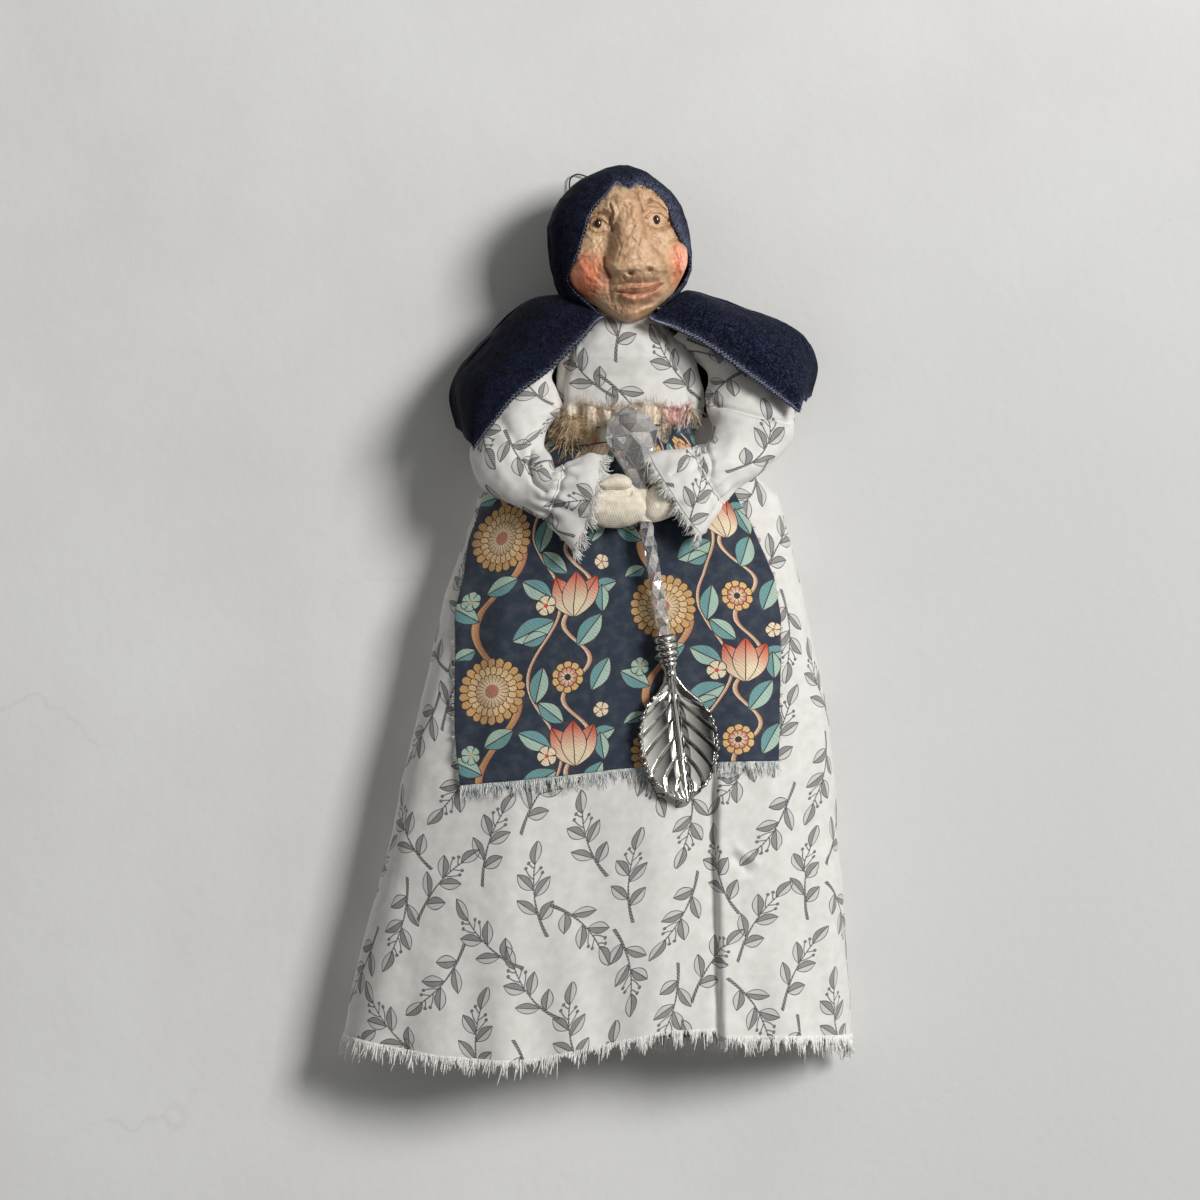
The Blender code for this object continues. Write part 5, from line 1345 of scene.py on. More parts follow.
def skirtGrid(rows=230, columns=560):
    look = skirtLook
    hemLevel = 1050.0
    levels = np.linspace(430, hemLevel, rows)
    angle = np.linspace(0, 2 * math.pi, columns, endpoint=False) + math.pi / 2
    c, s = np.cos(angle), np.sin(angle)
    grid = []
    for level in levels:
        left, _, z = fromPicture(atLevel(level, look["left"]), level, look["sideY"])
        right = fromPicture(atLevel(level, look["right"]), level, look["sideY"])[0]
        down = (look["waist"] - z) / 0.2095
        front = -np.interp(down, look["frontDown"], look["front"]) * look["depth"]
        back = np.interp(down, look["backDown"], look["back"])
        x = (left + right) / 2 + (right - left) / 2 * np.sign(c) * np.abs(c) ** (2 / look["power"])
        bulge = np.abs(s) ** (2 / look["power"])
        behind = np.minimum(back, look["sideY"] + (back - look["sideY"]) * 1.3 * bulge)
        y = np.where(s < 0, look["sideY"] + (front - look["sideY"]) * bulge, behind)
        grid.append(np.stack([x, y, np.full(columns, z)], -1))
    grid = np.array(grid)
    # the hem follows the picture in front and hangs level behind
    u, v = toPicture(grid)
    hem = atLevel(u[-1], look["hem"])
    hem = np.where(s > 0, np.maximum(hem, 1040), hem)
    stretch = (hem - 430) / (hemLevel - 430)
    top = grid[0, :, 2]
    grid[..., 2] = top - (top - grid[..., 2]) * stretch[None]
    normals = gridNormals(grid, True)
    outward = np.stack([grid[..., 0] + 0.008, (grid[..., 1] + 0.014) * 3, 0 * grid[..., 0]], -1)
    normals *= np.where((normals * outward).sum(-1, keepdims=True) < 0, -1.0, 1.0)
    u, v = toPicture(grid)
    frontal = np.clip(-(grid[..., 1] + 0.016) * 120, 0, 1)
    across = np.arctan2(grid[..., 0] + 0.005, -(grid[..., 1] + 0.012))
    gathers = 0.8 * np.sin(across * 15 + 1.2 * np.sin(across * 4))
    gathers *= np.clip(1 - (v - 430) / 190, 0, 1) * np.clip((v - 428) / 22, 0, 1)
    rise = foldsAt(u, v, look["folds"]) * frontal + gathers
    rise = rise + 0.9 * roughness3d(grid, 26.0, 3, 1.0) + 0.2 * roughness3d(grid, 110.0, 3, 6.0)
    step = u - atLevel(v, look["pleat"])
    under = -3.0 * np.exp(-(np.clip(-step, 0, None) / 27.0) ** 1.3)
    over = 1.5 * np.exp(-np.clip(step, 0, None) / 22.0)
    sharp = 1 / (1 + np.exp(-step / 0.8))
    rise += (under * (1 - sharp) + over * sharp) * np.clip((v - 728) / 70, 0, 1) * frontal
    hemWave = np.clip((v - 930) / 120, 0, 1) * np.sin(u * 0.09) * 0.7
    rise += hemWave * frontal
    rise = np.where(grid[..., 1] > -0.006, np.minimum(rise, 0) * 0.3 - 0.1, rise)
    grid = grid + normals * (0.001 * rise)[..., None]
    grid[..., 1] = np.minimum(grid[..., 1], -0.0007)
    return grid


skirtCloth = skirtGrid()
skirt = clothFromGrid("dressSkirt", skirtCloth, clothUV(skirtCloth, 0.004, 0.0), aroundRow=True)
thicken(skirt, skirtLook["cloth"])
settle(skirt, dressCloth, "dress_cotton", "body", "skirt")
closed = np.concatenate([skirtCloth[-1], skirtCloth[-1][:1]])
hemOut = unit(skirtCloth[-1] - skirtCloth[-6])
hemOut = np.concatenate([hemOut, hemOut[:1]])
root = closed + unit((closed - closed.mean(axis=0)) * (1, 1, 0)) * 0.0004 - hemOut * 0.0010
frays = frayPaths(root, hemOut, 2700, 0.0050, 41, 0.1, 0.05, wild=0.35)
frays += frayPaths(root, hemOut, 460, 0.0062, 42, 0.1, 0.12, wild=0.55)
for path in frays:
    path[:, 1] = np.minimum(path[:, 1], -0.0005)
hemFringe = settle(tubesMesh("hemFringe", frays, 0.00014, 4), whiteThread, "dress_cotton", "body")
print("skirt made")

# apron and its gathered top

apronShape = {
    "cloth": 0.0006, "stand": 0.0011,
    "left": [
        (430, 560), (445, 545), (473, 512), (498, 483), (540, 470), (583, 463), (609, 456.5), (670, 456),
        (733, 455.5), (781, 461)
    ],
    "right": [
        (430, 683), (445, 700), (470, 722), (487, 731), (530, 753), (576, 773), (618, 780), (690, 779.5),
        (762, 778)
    ],
    "bottom": [(455, 786), (500, 782), (560, 776), (617, 769), (680, 764), (715, 762), (780, 761)],
    "flatWidth": 0.110, "flatLength": 0.1165,
    "folds": [
        ([(590, 440), (582, 500), (572, 560)], 9, 0.9), ([(612, 440), (612, 520)], 7, -0.7),
        ([(665, 440), (690, 500), (720, 560)], 9, 0.9), ([(700, 450), (735, 520), (762, 580)], 8, -0.7),
        ([(540, 480), (515, 560), (500, 660)], 13, 0.9), ([(490, 520), (478, 640), (476, 760)], 10, -0.7),
        ([(640, 560), (630, 660), (628, 760)], 24, -0.5), ([(740, 620), (742, 700), (744, 760)], 14, 0.7),
        ([(700, 660), (704, 760)], 10, -0.6),
    ],
}


def layOnSkirt(px, py, stand):
    # picture places laid on the skirt's front, standing off it a little
    half = skirtCloth.shape[1] // 4
    front = skirtCloth[:, half - 20: 3 * half + 20]
    u, v = toPicture(front)
    rows = np.arange(len(front))
    out = np.zeros(px.shape + (3,))
    for r in range(len(px)):
        place = np.interp(py[r], v[:, front.shape[1] // 2], rows)
        low = np.clip(place.astype(int), 0, len(rows) - 2)
        f = place - low
        y = np.empty(px.shape[1])
        for k in np.unique(low):
            here = low == k
            a, b = (np.interp(px[r, here], u[row], front[row, :, 1]) for row in (k, k + 1))
            y[here] = a * (1 - f[here]) + b * f[here]
        out[r] = fromPicture(px[r], py[r], y - stand)
    return out


def apronGrid(rows=170, columns=280):
    look = apronShape
    t = np.linspace(0, 1, rows)[:, None]
    s = np.linspace(0, 1, columns)[None]
    level = 430 + t * (785.0 + (761.0 - 785.0) * s - 430)  # from the left bottom corner to the right one
    left = atLevel(level, look["left"])
    right = atLevel(level, look["right"])
    px = left + (right - left) * s
    bottom = atLevel(px[-1], look["bottom"])
    level = 430 + t * (bottom[None] - 430)
    grid = layOnSkirt(px, level, look["stand"])
    normals = gridNormals(grid)
    normals *= np.where(normals[..., 1:2] > 0, -1.0, 1.0)
    belowTie = np.clip((level - 444) / 22, 0, 1)
    gathers = (
        0.8 * np.sin(s * 2 * math.pi * 9 + 1.5 * np.sin(s * 9)) * np.clip(1 - t / 0.34, 0, 1) ** 1.3
        * belowTie
    )
    rise = (
        foldsAt(px, level, look["folds"]) * belowTie + gathers + 0.5 * roughness3d(grid, 60.0, 3, 7.0)
        + 0.35
    )
    rise += 0.5 * np.sin(s * 21 + 0.7) * np.clip((t - 0.9) / 0.1, 0, 1)
    return grid + normals * (0.001 * np.clip(rise, -0.55, None))[..., None]


apronSheet = apronGrid()
rows, columns = apronSheet.shape[:2]
acrossCloth = (np.linspace(0, 1, columns)[None] - 0.5) * apronShape["flatWidth"]
downCloth = -(np.linspace(0, 1, rows)[:, None] * apronShape["flatLength"])
uv = np.stack(np.broadcast_arrays(acrossCloth, downCloth), -1)
apron = clothFromGrid("flowerApron", apronSheet, uv)
thicken(apron, apronShape["cloth"])
settle(apron, apronCloth, "apron_cotton", "body", "apron")
frays, sideFrays = [], []
for paths, edge, inner, count, length, seed in (
    (frays, apronSheet[-1], apronSheet[-5], 1500, 0.0044, 51),
    (frays, apronSheet[:, 0], apronSheet[:, 4], 620, 0.0018, 52),
    (sideFrays, apronSheet[:, -1], apronSheet[:, -5], 420, 0.0012, 53),
):
    paths += frayPaths(edge, unit(edge - inner), count, length, seed, 0.15, 0.15, wild=0.6)
apronFringe = settle(tubesMesh("apronFringe", frays, 0.00009, 3), blueFray, "apron_cotton", "body")
apronSideFray = settle(tubesMesh("apronSideFray", sideFrays, 0.00008, 3), redFray, "apron_cotton", "body")

frillLook = {
    "from": 546, "to": 690, "middle": 618, "top": 410, "low": 446, "tie": 0.62, "flat": (0.11, 0.014),
    "cloth": 0.0005,
}
t = np.linspace(0, 1, 44)[:, None]
s = np.linspace(0, 1, 320)[None]
fromMiddle = frillLook["from"] + (frillLook["to"] - frillLook["from"]) * s + 0 * t - frillLook["middle"]
fromMiddle = fromMiddle * (1 - 0.05 * np.exp(-((t - frillLook["tie"]) / 0.2) ** 2))
waves = np.sin(s * 2 * math.pi * 11 + 2.0 * np.sin(s * 13)) * (0.35 + 0.9 * np.abs(t - frillLook["tie"]))
angle = fromMiddle / 72 * 1.25
x = np.sin(angle) * 0.0250
y = -0.0175 - np.cos(angle) * 0.0162 - 0.0012 - 0.0011 * waves - 0.0008 * (1 - t)
down = frillLook["top"] + (frillLook["low"] - frillLook["top"]) * t - 600 + 3.0 * np.sin(s * 17) * (1 - t)
grid = np.stack(np.broadcast_arrays(x - 0.0012, y, viewZ - down * pixel), -1)
flatWide, flatLong = frillLook["flat"]
uv = np.stack(np.broadcast_arrays((s - 0.5) * flatWide, -t * flatLong + flatLong), -1)
frill = clothFromGrid("apronFrill", grid, uv)
thicken(frill, frillLook["cloth"])
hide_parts("apron_frill")
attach(frill, "body")
frillCloth, tree, sockets = newMaterial("frillCotton", 0.9, sheen=0.12)
where = axesOf(objectPlace(tree))
stretched = put(tree, "Mapping", {"Vector": objectPlace(tree), "Scale": (700.0, 200.0, 60.0)}).outputs[0]
streak = noiseAt(stretched, 1.0, 4.0)
tone = mixColour(ramp(streak, 0.36, 0.60), rgb(176, 140, 98), rgb(222, 212, 194))
reds = mixColour(ramp(streak, 0.4, 0.6), rgb(176, 100, 90), rgb(222, 200, 190))
navy = mixColour(ramp(streak, 0.42, 0.7), rgb(22, 38, 54), rgb(66, 100, 112))
ragged = times(minus(streak, 0.5), 0.008)
reds = mixColour(ramp(plus(where[2], ragged), -0.0862, -0.0878), reds, navy)
tone = mixColour(ramp(plus(where[0], ragged), 0.0125, 0.0150), tone, reds)
tree.links.new(tone, sockets["Base Color"])
addBump(sockets, streak, 0.5, 0.0002)
coat(frill, frillCloth, "apron_cotton")
topOut = unit(grid[0] - grid[4])
tanEnd = 232  # the frill is tan up to this column, then red above and navy below
frontOut = np.cross(grid[20, 1:] - grid[20, :-1], grid[0, 1:] - grid[20, 1:])
frontOut *= np.where(frontOut[:, 1:2] > 0, -1, 1) / np.linalg.norm(frontOut, axis=1, keepdims=True)


def fuzzOver(rows, columns, count, length, seed, fall=0.0):
    # short curled fibres all over a part of the frill
    rng = np.random.default_rng(seed)
    i, j = rng.integers(*rows, count), rng.integers(*columns, count)
    upDown = rng.choice([-1.0, 1.0], (count, 1)) * (1 - fall) - fall
    out = unit(frontOut[j] * 0.45 + rng.normal(0, 0.45, (count, 3)) + upDown * (0, 0, 1))
    reach = length * rng.uniform(0.4, 1.2, (count, 1, 1))
    t = np.linspace(0, 1, 5)[None, :, None]
    curl = rng.normal(0, 0.4, (count, 1, 3)) - frontOut[j][:, None] * 0.5
    return list(grid[i, j][:, None] + reach * (out[:, None] * t + curl * t ** 2 * 0.6))


frillFuzz = {
    # name: thread, fibres
    "frillFray": (
        tanFray,
        frayPaths(grid[0][:tanEnd], topOut[:tanEnd], 460, 0.0032, 61, -0.1, 0.6)
        + fuzzOver((0, 44), (0, tanEnd), 1500, 0.0026, 65)
        + frayPaths(grid[2][298:], frontOut[297:] * 0.5, 90, 0.0075, 64, 1.3, 0.3),
    ),
    "frillTongue": (
        plainThread("goldFray", rgb(150, 108, 62), rgb(222, 200, 164), scale=260.0),
        fuzzOver((4, 40), (36, 72), 420, 0.0088, 66, 1.0),
    ),
    "frillFrayRight": (
        plainThread("pinkFray", rgb(184, 96, 88), rgb(236, 220, 212), scale=300.0),
        frayPaths(grid[0][tanEnd:], topOut[tanEnd:], 220, 0.0028, 62, -0.1, 0.6)
        + fuzzOver((0, 20), (tanEnd, 318), 380, 0.0024, 67),
    ),
    "frillFrayNavy": (
        plainThread("tealFray", rgb(20, 38, 56), rgb(96, 130, 140), scale=260.0),
        fuzzOver((16, 44), (tanEnd, 318), 620, 0.0026, 68),
    ),
}
for title, (thread, frays) in frillFuzz.items():
    settle(tubesMesh(title, frays, 0.00008, 3), thread, "apron_cotton", "body")

# three twisted strands round the waist, and one thread over the frill
angle = np.linspace(0, 2 * math.pi, 260)
ring = np.stack(
    [0.0236 * np.sin(angle), -0.0178 - 0.0178 * np.cos(angle), -0.0868 + 0.0004 * np.sin(3 * angle)], -1
)
strands = []
for start in (0, 2.1, 4.2):
    twist = angle * 40 + start
    off = np.stack([np.sin(angle) * np.cos(twist), -np.cos(angle) * np.cos(twist), np.sin(twist)], -1)
    strands.append(ring + 0.00022 * off)
turn = (np.linspace(556, 613, 40) - frillLook["middle"]) / 72 * 1.25
height = viewZ - (445 - 600 + 1.6 * np.sin(turn * 9)) * pixel
strands.append(np.stack([np.sin(turn) * 0.0268 - 0.0012, -0.0175 - np.cos(turn) * 0.0186, height], -1))
waistTie = tubesMesh("waistTie", strands, [0.0002, 0.0002, 0.0002, 0.00024], 6)
darkThread = plainThread("darkThread", rgb(40, 36, 34), rgb(84, 76, 70))
settle(waistTie, darkThread, "cotton_thread", "body", "waist_tie")
print("apron made")

# sleeves

sleeveLook = {
    "cloth": 0.0005, "wrist": 0.745,  # how far down the gathered wrist is
    # lower or outer side, upper or inner side, depth, half depth, bow of the front
    "left": [
        (562, 322, 590, 350, -18.5, 8, 0), (534, 338, 569, 356, -20, 9.5, 0),
        (505, 366, 552, 374, -23, 10, 0), (486, 400, 556, 394, -25, 10.3, 0),
        (475, 430, 559, 409, -27.5, 10, 0), (471, 460, 548, 430, -30, 9.8, 0),
        (482, 486, 543, 446, -33, 9.5, 0), (507, 503, 550, 458, -37, 8.8, 1),
        (529, 512, 554, 471, -41, 7.6, 2), (545, 520, 564, 466, -43.5, 6.2, 4),
        (556, 530, 578, 459, -44.8, 7.0, 6), (566, 541, 589, 455, -45.3, 7.5, 7),
        (572, 549, 598, 457, -45.4, 7.7, 6),
    ],
    "right": [
        (690, 322, 664, 346, -18.5, 8, 0), (728, 342, 690, 358, -20, 9.5, 0),
        (764, 368, 709, 374, -23, 10, 0), (790, 398, 706, 394, -25.5, 10.3, 0),
        (794, 424, 706, 410, -28, 10.2, 0), (786, 448, 713, 424, -31, 9.8, 0),
        (768, 467, 713, 436, -35, 9, 0), (752, 477, 709, 443, -38.5, 8.4, -1),
        (736, 490, 702, 446, -41.5, 7.6, -2), (724, 505, 692, 448, -43.7, 6.2, -4),
        (715, 518, 680, 450, -44.8, 7.2, -5), (708, 529, 665, 452, -45.3, 7.6, -5),
        (702, 536, 651, 457, -45.4, 7.7, -3),
    ],
    "leftFolds": [
        ([(531, 451), (528, 465), (533, 482), (545, 492)], 2.4, -1.5), ([(541, 467), (544, 474)], 8, 1.1),
        ([(500, 420), (514, 440), (520, 462)], 6, -0.8), ([(486, 440), (497, 466), (512, 486)], 6, 0.6),
        ([(560, 470), (575, 478)], 3, -0.6), ([(562, 500), (582, 508)], 4, 0.7)
    ],
    "rightFolds": [
        ([(714, 405), (746, 413), (788, 423)], 2.6, -1.6), ([(724, 414), (752, 422), (782, 432)], 6, 0.9),
        ([(706, 446), (712, 462), (711, 476)], 2.5, -1.3), ([(735, 440), (728, 462)], 7, 0.7),
        ([(690, 462), (672, 474)], 3, -0.7), ([(700, 490), (684, 500)], 4, 0.7),
        ([(760, 385), (768, 400)], 6, 0.5)
    ],
}


def sleeveGrid(stations, folds, seed, rows=190, around=150):
    spots = []
    for ax, ay, bx, by, depth, halfDepth, bow in stations:
        a, b = np.array(spot(ax, ay, depth)), np.array(spot(bx, by, depth))
        spots.append(np.concatenate([(a + b) / 2, (a - b) / 2, [halfDepth * 0.001, bow * pixel]]))
    dense = throughPoints(np.array(spots), rows)
    centre, arm, halfDepth, bow = dense[:, :3], dense[:, 3:6], dense[:, 6], dense[:, 7]
    angle = np.linspace(0, 2 * math.pi, around, endpoint=False) - math.pi / 2  # starts behind
    c, s = np.cos(angle), np.sin(angle)
    grid = centre[:, None] + arm[:, None] * c[None, :, None]
    grid[..., 1] -= halfDepth[:, None] * s[None]
    grid[..., 0] += bow[:, None] * np.clip(s, 0, 1)[None]
    outward = unit(grid - centre[:, None])
    normals = gridNormals(grid, True)
    normals *= np.where((normals * outward).sum(-1, keepdims=True) < 0, -1.0, 1.0)
    u, v = toPicture(grid)
    t = np.linspace(0, 1, rows)[:, None]
    frontal = np.clip(s * 2.5, 0, 1)[None]
    fromWrist = t - sleeveLook["wrist"]
    pleats = np.cos(angle * 12 + seed)[None] * np.exp(-(fromWrist / 0.075) ** 2)
    ripple = np.cos(angle * 5 + seed * 2)[None] * np.clip((t - 0.8) / 0.2, 0, 1)
    rise = foldsAt(u, v, folds) * frontal + 0.75 * pleats + 1.1 * ripple
    rise = rise + 0.8 * roughness3d(grid, 75.0, 3, seed) - 0.9 * np.exp(-(fromWrist / 0.02) ** 2)
    return grid + normals * (0.001 * rise)[..., None], normals


for side, seed in (("left", 2.0), ("right", 5.0)):
    grid, normals = sleeveGrid(sleeveLook[side], sleeveLook[side + "Folds"], seed)
    sleeve = clothFromGrid(side + "Sleeve", grid, clothUV(grid, 0.013 * seed, 0.009 * seed), aroundRow=True)
    thicken(sleeve, sleeveLook["cloth"])
    coat(sleeve, dressCloth, "dress_cotton")
    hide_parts("upper_sleeve_" + side, "fore_sleeve_" + side, "cuff_" + side)
    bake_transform(sleeve)
    rim = np.concatenate([grid[-1], grid[-1][:1]])
    rimOut = unit(grid[-1] - grid[-5])
    rimOut = np.concatenate([rimOut, rimOut[:1]])
    frays = frayPaths(rim, rimOut, 1100, 0.0036, 70 + int(seed), 0.25, 0.35, wild=0.9)
    if side == "right":
        frays += frayPaths(rim[90:150], rimOut[90:150], 160, 0.0042, 78, 0.5, 0.5)
    cuffFringe = settle(
        tubesMesh(side + "CuffFringe", frays, 0.00009, 3), whiteThread, "dress_cotton", "arms"
    )
    # thread round the gathered wrist
    row = int(sleeveLook["wrist"] * (len(grid) - 1))
    ring, out = (np.concatenate([rows[row], rows[row][:2]]) for rows in (grid, normals))
    ring = ring + out * 0.00045
    strands = []
    for start in (0, 3.1):
        twist = np.arange(len(ring)) * 0.9 + start
        strands.append(ring + 0.00016 * np.stack([np.cos(twist), np.sin(twist), np.cos(twist + 1)], -1))
    wristTie = tubesMesh(side + "WristTie", strands, 0.00018, 6)
    settle(wristTie, whiteThread, "cotton_thread", "arms", "wrist_tie_" + side)
print("sleeves made")

# hands

# the spoon's rod passes between the hands, tilted by rodTilt
rodFoot, rodTilt, rodRoom = np.array([0.0058, -0.0455, -0.1129]), math.atan(0.165), 0.0027
rodAlong = np.array([-math.sin(rodTilt), 0, math.cos(rodTilt)])
handLook = {
    "left": [
        (566, 487, 512, 4.2), (574, 481, 517, 4.8), (586, 475, 522, 5.3), (599, 472, 526, 5.7),
        (612, 475, 527.5, 5.9), (624, 480, 527, 5.8), (633, 484, 525, 5.6), (640, 489, 522, 5.1),
        (645, 496, 517, 4.2), (648, 503, 511, 2.2)
    ],
    "right": [
        (699, 489, 507, 4.2), (692, 485, 509, 4.6), (684, 481, 512, 5.0), (674, 479, 516, 5.4),
        (664, 480, 520, 5.5), (655, 484, 522, 5.1), (648, 490, 523, 4.2), (643, 498, 520, 2.2)
    ],
    "thumb": [
        (596, 486, 483, 5.2), (604, 478, 491, 5.4), (614, 474, 492, 5.6), (624, 475, 491.5, 5.2),
        (630, 479, 489, 3.4), (632, 482, 486, 1.4)
    ],
}


def mitt(name, stations, depthY, rows=90, around=72, creases=()):
    spots = []
    for x, top, low, halfDepth in stations:
        a, b = np.array(spot(x, top, depthY)), np.array(spot(x, low, depthY))
        spots.append(np.concatenate([(a + b) / 2, (a - b) / 2, [halfDepth * 0.001]]))
    dense = throughPoints(np.array(spots), rows)
    centre, arm, halfDepth = dense[:, :3], dense[:, 3:6], dense[:, 6]
    angle = np.linspace(0, 2 * math.pi, around, endpoint=False)
    grid = centre[:, None] + arm[:, None] * np.cos(angle)[None, :, None]
    grid[..., 1] -= halfDepth[:, None] * np.sin(angle)[None]
    outward = unit(grid - centre[:, None])
    u, v = toPicture(grid)
    rise = (
        0.35 * roughness3d(grid, 170.0, 3, 5.0)
        + foldsAt(u, v, creases) * np.clip(np.sin(angle) * 2, 0, 1)[None]
    )
    grid = grid + outward * (0.001 * rise)[..., None]
    # room for the rod
    off = grid - rodFoot
    off -= (off @ rodAlong)[..., None] * rodAlong
    reach = np.linalg.norm(off, axis=-1, keepdims=True)
    grid = np.where(reach < rodRoom, grid + off / (reach + 1e-9) * (rodRoom - reach), grid)
    piece = mendMesh(clothFromGrid(name, grid, aroundRow=True), closeEnds)
    return settle(piece, muslin, "hand_muslin", "arms")


leftHand = mitt(
    "leftHand", handLook["left"], -45.5,
    creases=[([(602, 493), (616, 495.5), (630, 492)], 2.2, -1.4), ([(596, 510), (620, 514)], 4, 0.4)]
)
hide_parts("hand_left")
leftThumb = mitt("leftThumb", handLook["thumb"], -47.5)
rightHand = mitt("rightHand", handLook["right"], -45.5, creases=[([(676, 500), (660, 503)], 3, -0.5)])
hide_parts("hand_right")
print("hands made")

# spoon

spoonPlace = Matrix.Translation(rodFoot) @ Matrix.Rotation(-rodTilt, 4, "Y")


def intoFrame(points):
    flat = np.asarray(points, float).reshape(-1, 3)
    turn = np.array(spoonPlace.to_3x3())
    return (flat @ turn.T + np.array(spoonPlace.translation)).reshape(np.shape(points))


glass, tree, sockets = newMaterial("clearGlass", 0.02)
sockets["Transmission Weight"].default_value = 0.74
sockets["IOR"].default_value = 1.6
# painted reflections: each facet is lighter or darker by its own random tone
tree.links.new(
    mixColour(readMask(tree, "facet"), rgb(136, 136, 136), rgb(255, 255, 255)), sockets["Base Color"]
)
tree.links.new(ramp(noiseAt(objectPlace(tree), 260.0, 3.0), 0.5, 0.8, 0.015, 0.08), sockets["Roughness"])
finialLook = {
    "seat": 0.0069, "height": 0.0252, "width": 0.0179, "depth": 0.0125, "sides": 8,
    # how far up and how wide each ring of corners is
    "levels": [
        (0.0, 0.26), (0.20, 0.50), (0.46, 0.86), (0.66, 1.0), (0.82, 0.88), (0.94, 0.50), (1.0, 0.18)
    ],
}
look = finialLook
verts, faces = [], []
for k, (up, girth) in enumerate(look["levels"]):
    for i in range(look["sides"]):
        a = (i + (k % 2) * 0.5) * 2 * math.pi / look["sides"] + 0.35
        z = look["seat"] + up * look["height"] + 0.0004 * math.sin(5 * a + k)
        verts.append((math.cos(a) * girth * look["width"] / 2, math.sin(a) * girth * look["depth"] / 2, z))
n = look["sides"]
for k in range(len(look["levels"]) - 1):
    for i in range(n):
        j = (i + 1) % n
        a, b, c, d = k * n + i, k * n + j, (k + 1) * n + i, (k + 1) * n + j
        if k % 2 == 0:
            faces += [(a, b, c), (b, d, c)]
        else:
            faces += [(a, b, d), (a, d, c)]
faces.append(tuple(range((len(look["levels"]) - 1) * n, len(look["levels"]) * n)))
# the twisted rod goes on below in the same glass
rodLook = {"radius": 0.0024, "foot": -0.0505, "sides": 5, "facet": 0.0030}
around = rodLook["sides"]
rows = 1 + round((look["seat"] - rodLook["foot"]) / rodLook["facet"])
heights = np.linspace(look["seat"] + 0.0002, rodLook["foot"], rows)
ringStart = len(verts)
for k, z in enumerate(heights):
    for i in range(around):
        a = (i + 0.5 * (k % 2) + 0.09 * k) * 2 * math.pi / around
        r = rodLook["radius"] * (1.0 if k % 2 else 0.90)
        verts.append((r * math.cos(a), r * math.sin(a), z))
for k in range(rows - 1):
    for i in range(around):
        j = (i + 1) % around
        a, b, c, d = (
            ringStart + m
            for m in (k * around + i, k * around + j, (k + 1) * around + i, (k + 1) * around + j)
        )
        faces += [(a, b, c), (b, d, c)] if k % 2 == 0 else [(a, b, d), (a, d, c)]
faces.append(tuple(ringStart + (rows - 1) * around + i for i in range(around)))
# painted highlights: pale threads along the edges between the facets stand for the glints of cut glass
edges = sorted(
    {tuple(sorted((face[k], face[k - 1]))) for face in faces if len(face) == 3 for k in range(3)}
)
rng = np.random.default_rng(19)
places = intoFrame(verts)
onFinial = np.array(edges)[:, 0] < ringStart
finialRadii, rodRadii = rng.uniform(0.00002, 0.00008, len(edges)), rng.uniform(0.00002, 0.00006, len(edges))
edgeRadii = np.where(onFinial, finialRadii, rodRadii)
glassEdgeGlints = tubesMesh("glassEdgeGlints", [places[list(edge)] for edge in edges], edgeRadii, 4)
glintGlass, tree, sockets = newMaterial("glassEdgeGlint", 0.1)
sockets["Transmission Weight"].default_value = 0.6
glintTone = noiseAt(objectPlace(tree), 900.0)
tree.links.new(mixColour(glintTone, rgb(214, 216, 218), rgb(255, 255, 255)), sockets["Base Color"])
settle(glassEdgeGlints, glintGlass, "clear_glass", "spoon")
mesh = bpy.data.meshes.new("glassHandle")
mesh.from_pydata(intoFrame(verts).tolist(), [], faces)
glassHandle = mendMesh(addPiece("glassHandle", mesh, smooth=False), joinRims)
# painted reflections: a random light or dark tone for each facet
rng = np.random.default_rng(88)
facetGlints = rng.choice([0.0, 0.2, 0.5, 0.8, 1.0, 1.0], len(glassHandle.data.polygons))
layer = glassHandle.data.attributes.new("facet", "FLOAT", "FACE")
layer.data.foreach_set("value", facetGlints.astype(np.float32))
settle(glassHandle, glass, "clear_glass", "spoon", "spoon_handle")

silver, tree, sockets = newMaterial("spoonSilver", 0.2, 1.0)
grooveTarnishAndShade = readMask(tree, "grooveTarnishAndShade")
place = objectPlace(tree)
tarnish = noiseAt(place, 330.0, 5.0)
# tarnish darkens the grooves; on the leaf the same mask also paints shade on its right half
dark = times(grooveTarnishAndShade, ramp(tarnish, 0.3, 0.7, 0.75, 1.0))
tree.links.new(mixColour(dark, rgb(200, 198, 192), rgb(60, 55, 50)), sockets["Base Color"])
tree.links.new(ramp(tarnish, 0.35, 0.75, 0.09, 0.24), sockets["Roughness"])
addBump(sockets, tarnish, 0.15, 0.0002)

ferruleLook = {"top": -0.0445, "length": 0.0132, "radius": 0.0040}
profile = [(0.00262, ferruleLook["top"] + 0.0002), (0.0031, ferruleLook["top"] + 0.0003)]
grooves = [0.6, 0.3]
ribLengths = [0.0024, 0.0024, 0.0023, 0.0018]
z = ferruleLook["top"]
for k, length in enumerate(ribLengths):
    girth = ferruleLook["radius"] * (1.0, 1.0, 0.95, 0.82)[k]
    for share in np.linspace(0, 1, 12):
        bulge = math.sin(math.pi * share) ** 0.55
        profile.append((girth * (0.76 + 0.24 * bulge), z - length * share))
        grooves.append(max(0.0, 1 - bulge * 1.5))
    z -= length
bottom = ferruleLook["top"] - ferruleLook["length"]
for share in np.linspace(0.1, 1, 10):
    profile.append(
        (0.0029 - 0.0012 * share + 0.0002 * math.sin(share * 9), z + (bottom - 0.0008 - z) * share)
    )
    grooves.append(0.15)
sides = 64
verts, faces, mask = [], [], []
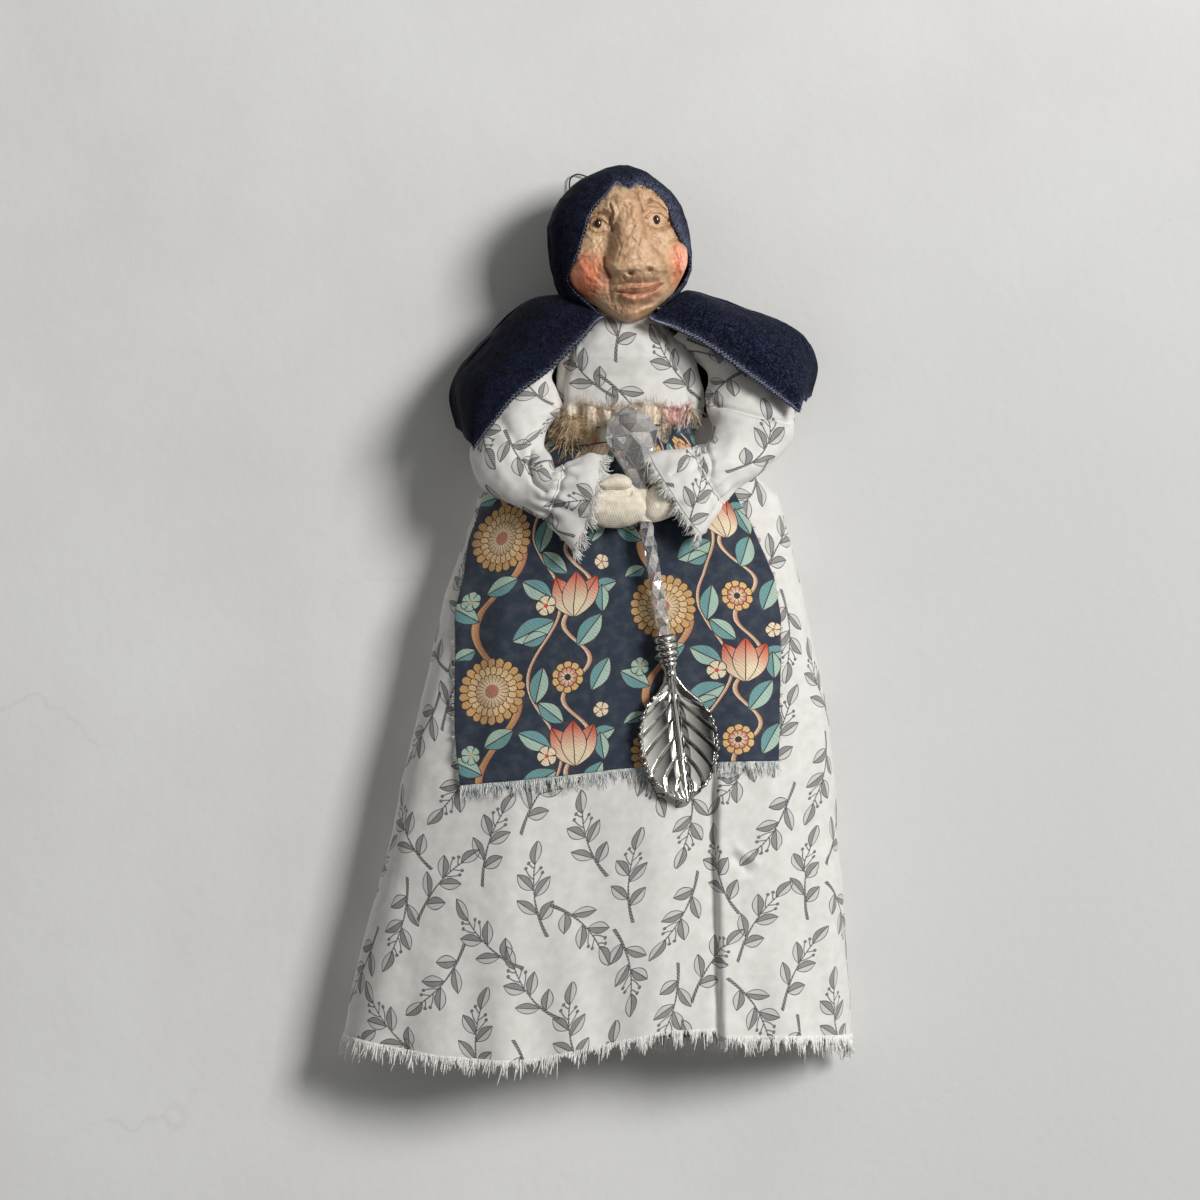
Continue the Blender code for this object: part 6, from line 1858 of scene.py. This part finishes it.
for (r, z), g in zip(profile, grooves):
    for i in range(sides):
        a = i * 2 * math.pi / sides
        verts.append((r * math.cos(a), r * math.sin(a), z))
        mask.append(g)
for k in range(len(profile) - 1):
    for i in range(sides):
        j = (i + 1) % sides
        faces.append((k * sides + i, (k + 1) * sides + i, (k + 1) * sides + j, k * sides + j))
mesh = bpy.data.meshes.new("ferrule")
mesh.from_pydata(intoFrame(verts).tolist(), [], faces)
ferrule = addPiece("ferrule", mesh)
addMask(ferrule, "grooveTarnishAndShade", np.array(mask))
settle(ferrule, silver, "spoon_metal", "spoon", "spoon_ferrule")

leafLook = {
    "left": [
        (668, 664.5), (677, 664.8), (683, 664), (692, 659), (706, 646.5), (720, 640.8), (737, 639.2),
        (757, 642), (777, 650), (791, 664), (797, 674), (799.5, 680), (802, 686.5)
    ],
    "right": [
        (668, 676), (677, 677), (683, 681), (690, 687), (702, 702), (715, 712), (731, 716.8), (749, 718.5),
        (765, 715.8), (782, 708), (791, 699), (797, 692.5), (802, 688.5)
    ],
    "rib": [(668, 670), (690, 673), (720, 677), (760, 682), (802, 687.5)],
    "cup": 0.0031, "metal": 0.001, "spacing": 19.5, "drop": (47.0, 39.0), "tooth": 7.2,
}


def leafGrid(rows=440, columns=231):
    look = leafLook
    level = np.linspace(668.5, 801.8, rows)[:, None]
    s = np.linspace(-1, 1, columns)[None]
    left = atLevel(level, look["left"])
    right = atLevel(level, look["right"])
    rib = atLevel(level, look["rib"])
    down = (level - 668.5) / 133.3
    u = np.where(s < 0, rib + (rib - left) * s, rib + (right - rib) * s)
    v = level + 0 * s
    # plates between the veins, each rising slowly outward and ending in a groove
    drop = np.where(s < 0, look["drop"][0], look["drop"][1]) * np.abs(s) ** 0.92
    wave = (level - drop - 674) / look["spacing"]
    phase = wave % 1
    plate = np.minimum(phase / 0.80, (1 - phase) / 0.20)
    inLeaf = np.clip((level - 692 - 10 * np.clip(s, 0, 1)) / 9, 0, 1) * np.clip((799 - level) / 8, 0, 1)
    fade = np.clip(np.abs(s) * 6 - 0.5, 0, 1) * inLeaf
    tooth = 0.5 + 0.5 * np.cos(2 * math.pi * level / look["tooth"])
    rim = np.clip(np.abs(s) - 0.93, 0, 1) / 0.07
    u = u + np.sign(s) * 1.5 * (tooth - 0.5) * rim * inLeaf
    cupped = look["cup"] * np.sin(math.pi * np.clip(down, 0.02, 1)) ** 0.7 * (1 - s ** 2)
    ribRise = (
        0.0014 * np.exp(-(s * 15) ** 2) * np.clip(1.25 - down, 0.45, 1)
        - 0.0004 * np.exp(-((s + 0.10) * 22) ** 2) * inLeaf
    )
    y = -0.0455 + cupped - ribRise - fade * 0.00125 * plate
    y = y - rim * inLeaf * (0.0004 + 0.0005 * tooth)
    grid = fromPicture(u, v, y)
    # the mask darkens the grooves between the plates and a line beside the rib as tarnish, and the right
    # half of the leaf as painted shade
    gap = np.exp(-(np.minimum(phase, 1 - phase) / 0.10) ** 2)
    besideRib = 0.9 * np.exp(-((s + 0.10) / 0.035) ** 2)
    shadedRightHalf = 0.34 * np.clip(s * 8 - 0.6, 0, 1) * (1 - rim)
    return grid, np.clip(fade * gap + inLeaf * (besideRib + shadedRightHalf), 0, 1)


grid, mask = leafGrid()
leafBowl = clothFromGrid("leafBowl", grid)
addMask(leafBowl, "grooveTarnishAndShade", mask)
thicken(leafBowl, leafLook["metal"])
settle(leafBowl, silver, "spoon_metal", "spoon", "spoon_bowl")
print("spoon made")

# what shows little: dowel and arm wires keep their forms

nodes["neck_dowel"].material_slots[0].material = dowelWood
for title in ("upper_arm_wire_left", "upper_arm_wire_right", "forearm_wire_left", "forearm_wire_right"):
    nodes[title].material_slots[0].material = wireMetal
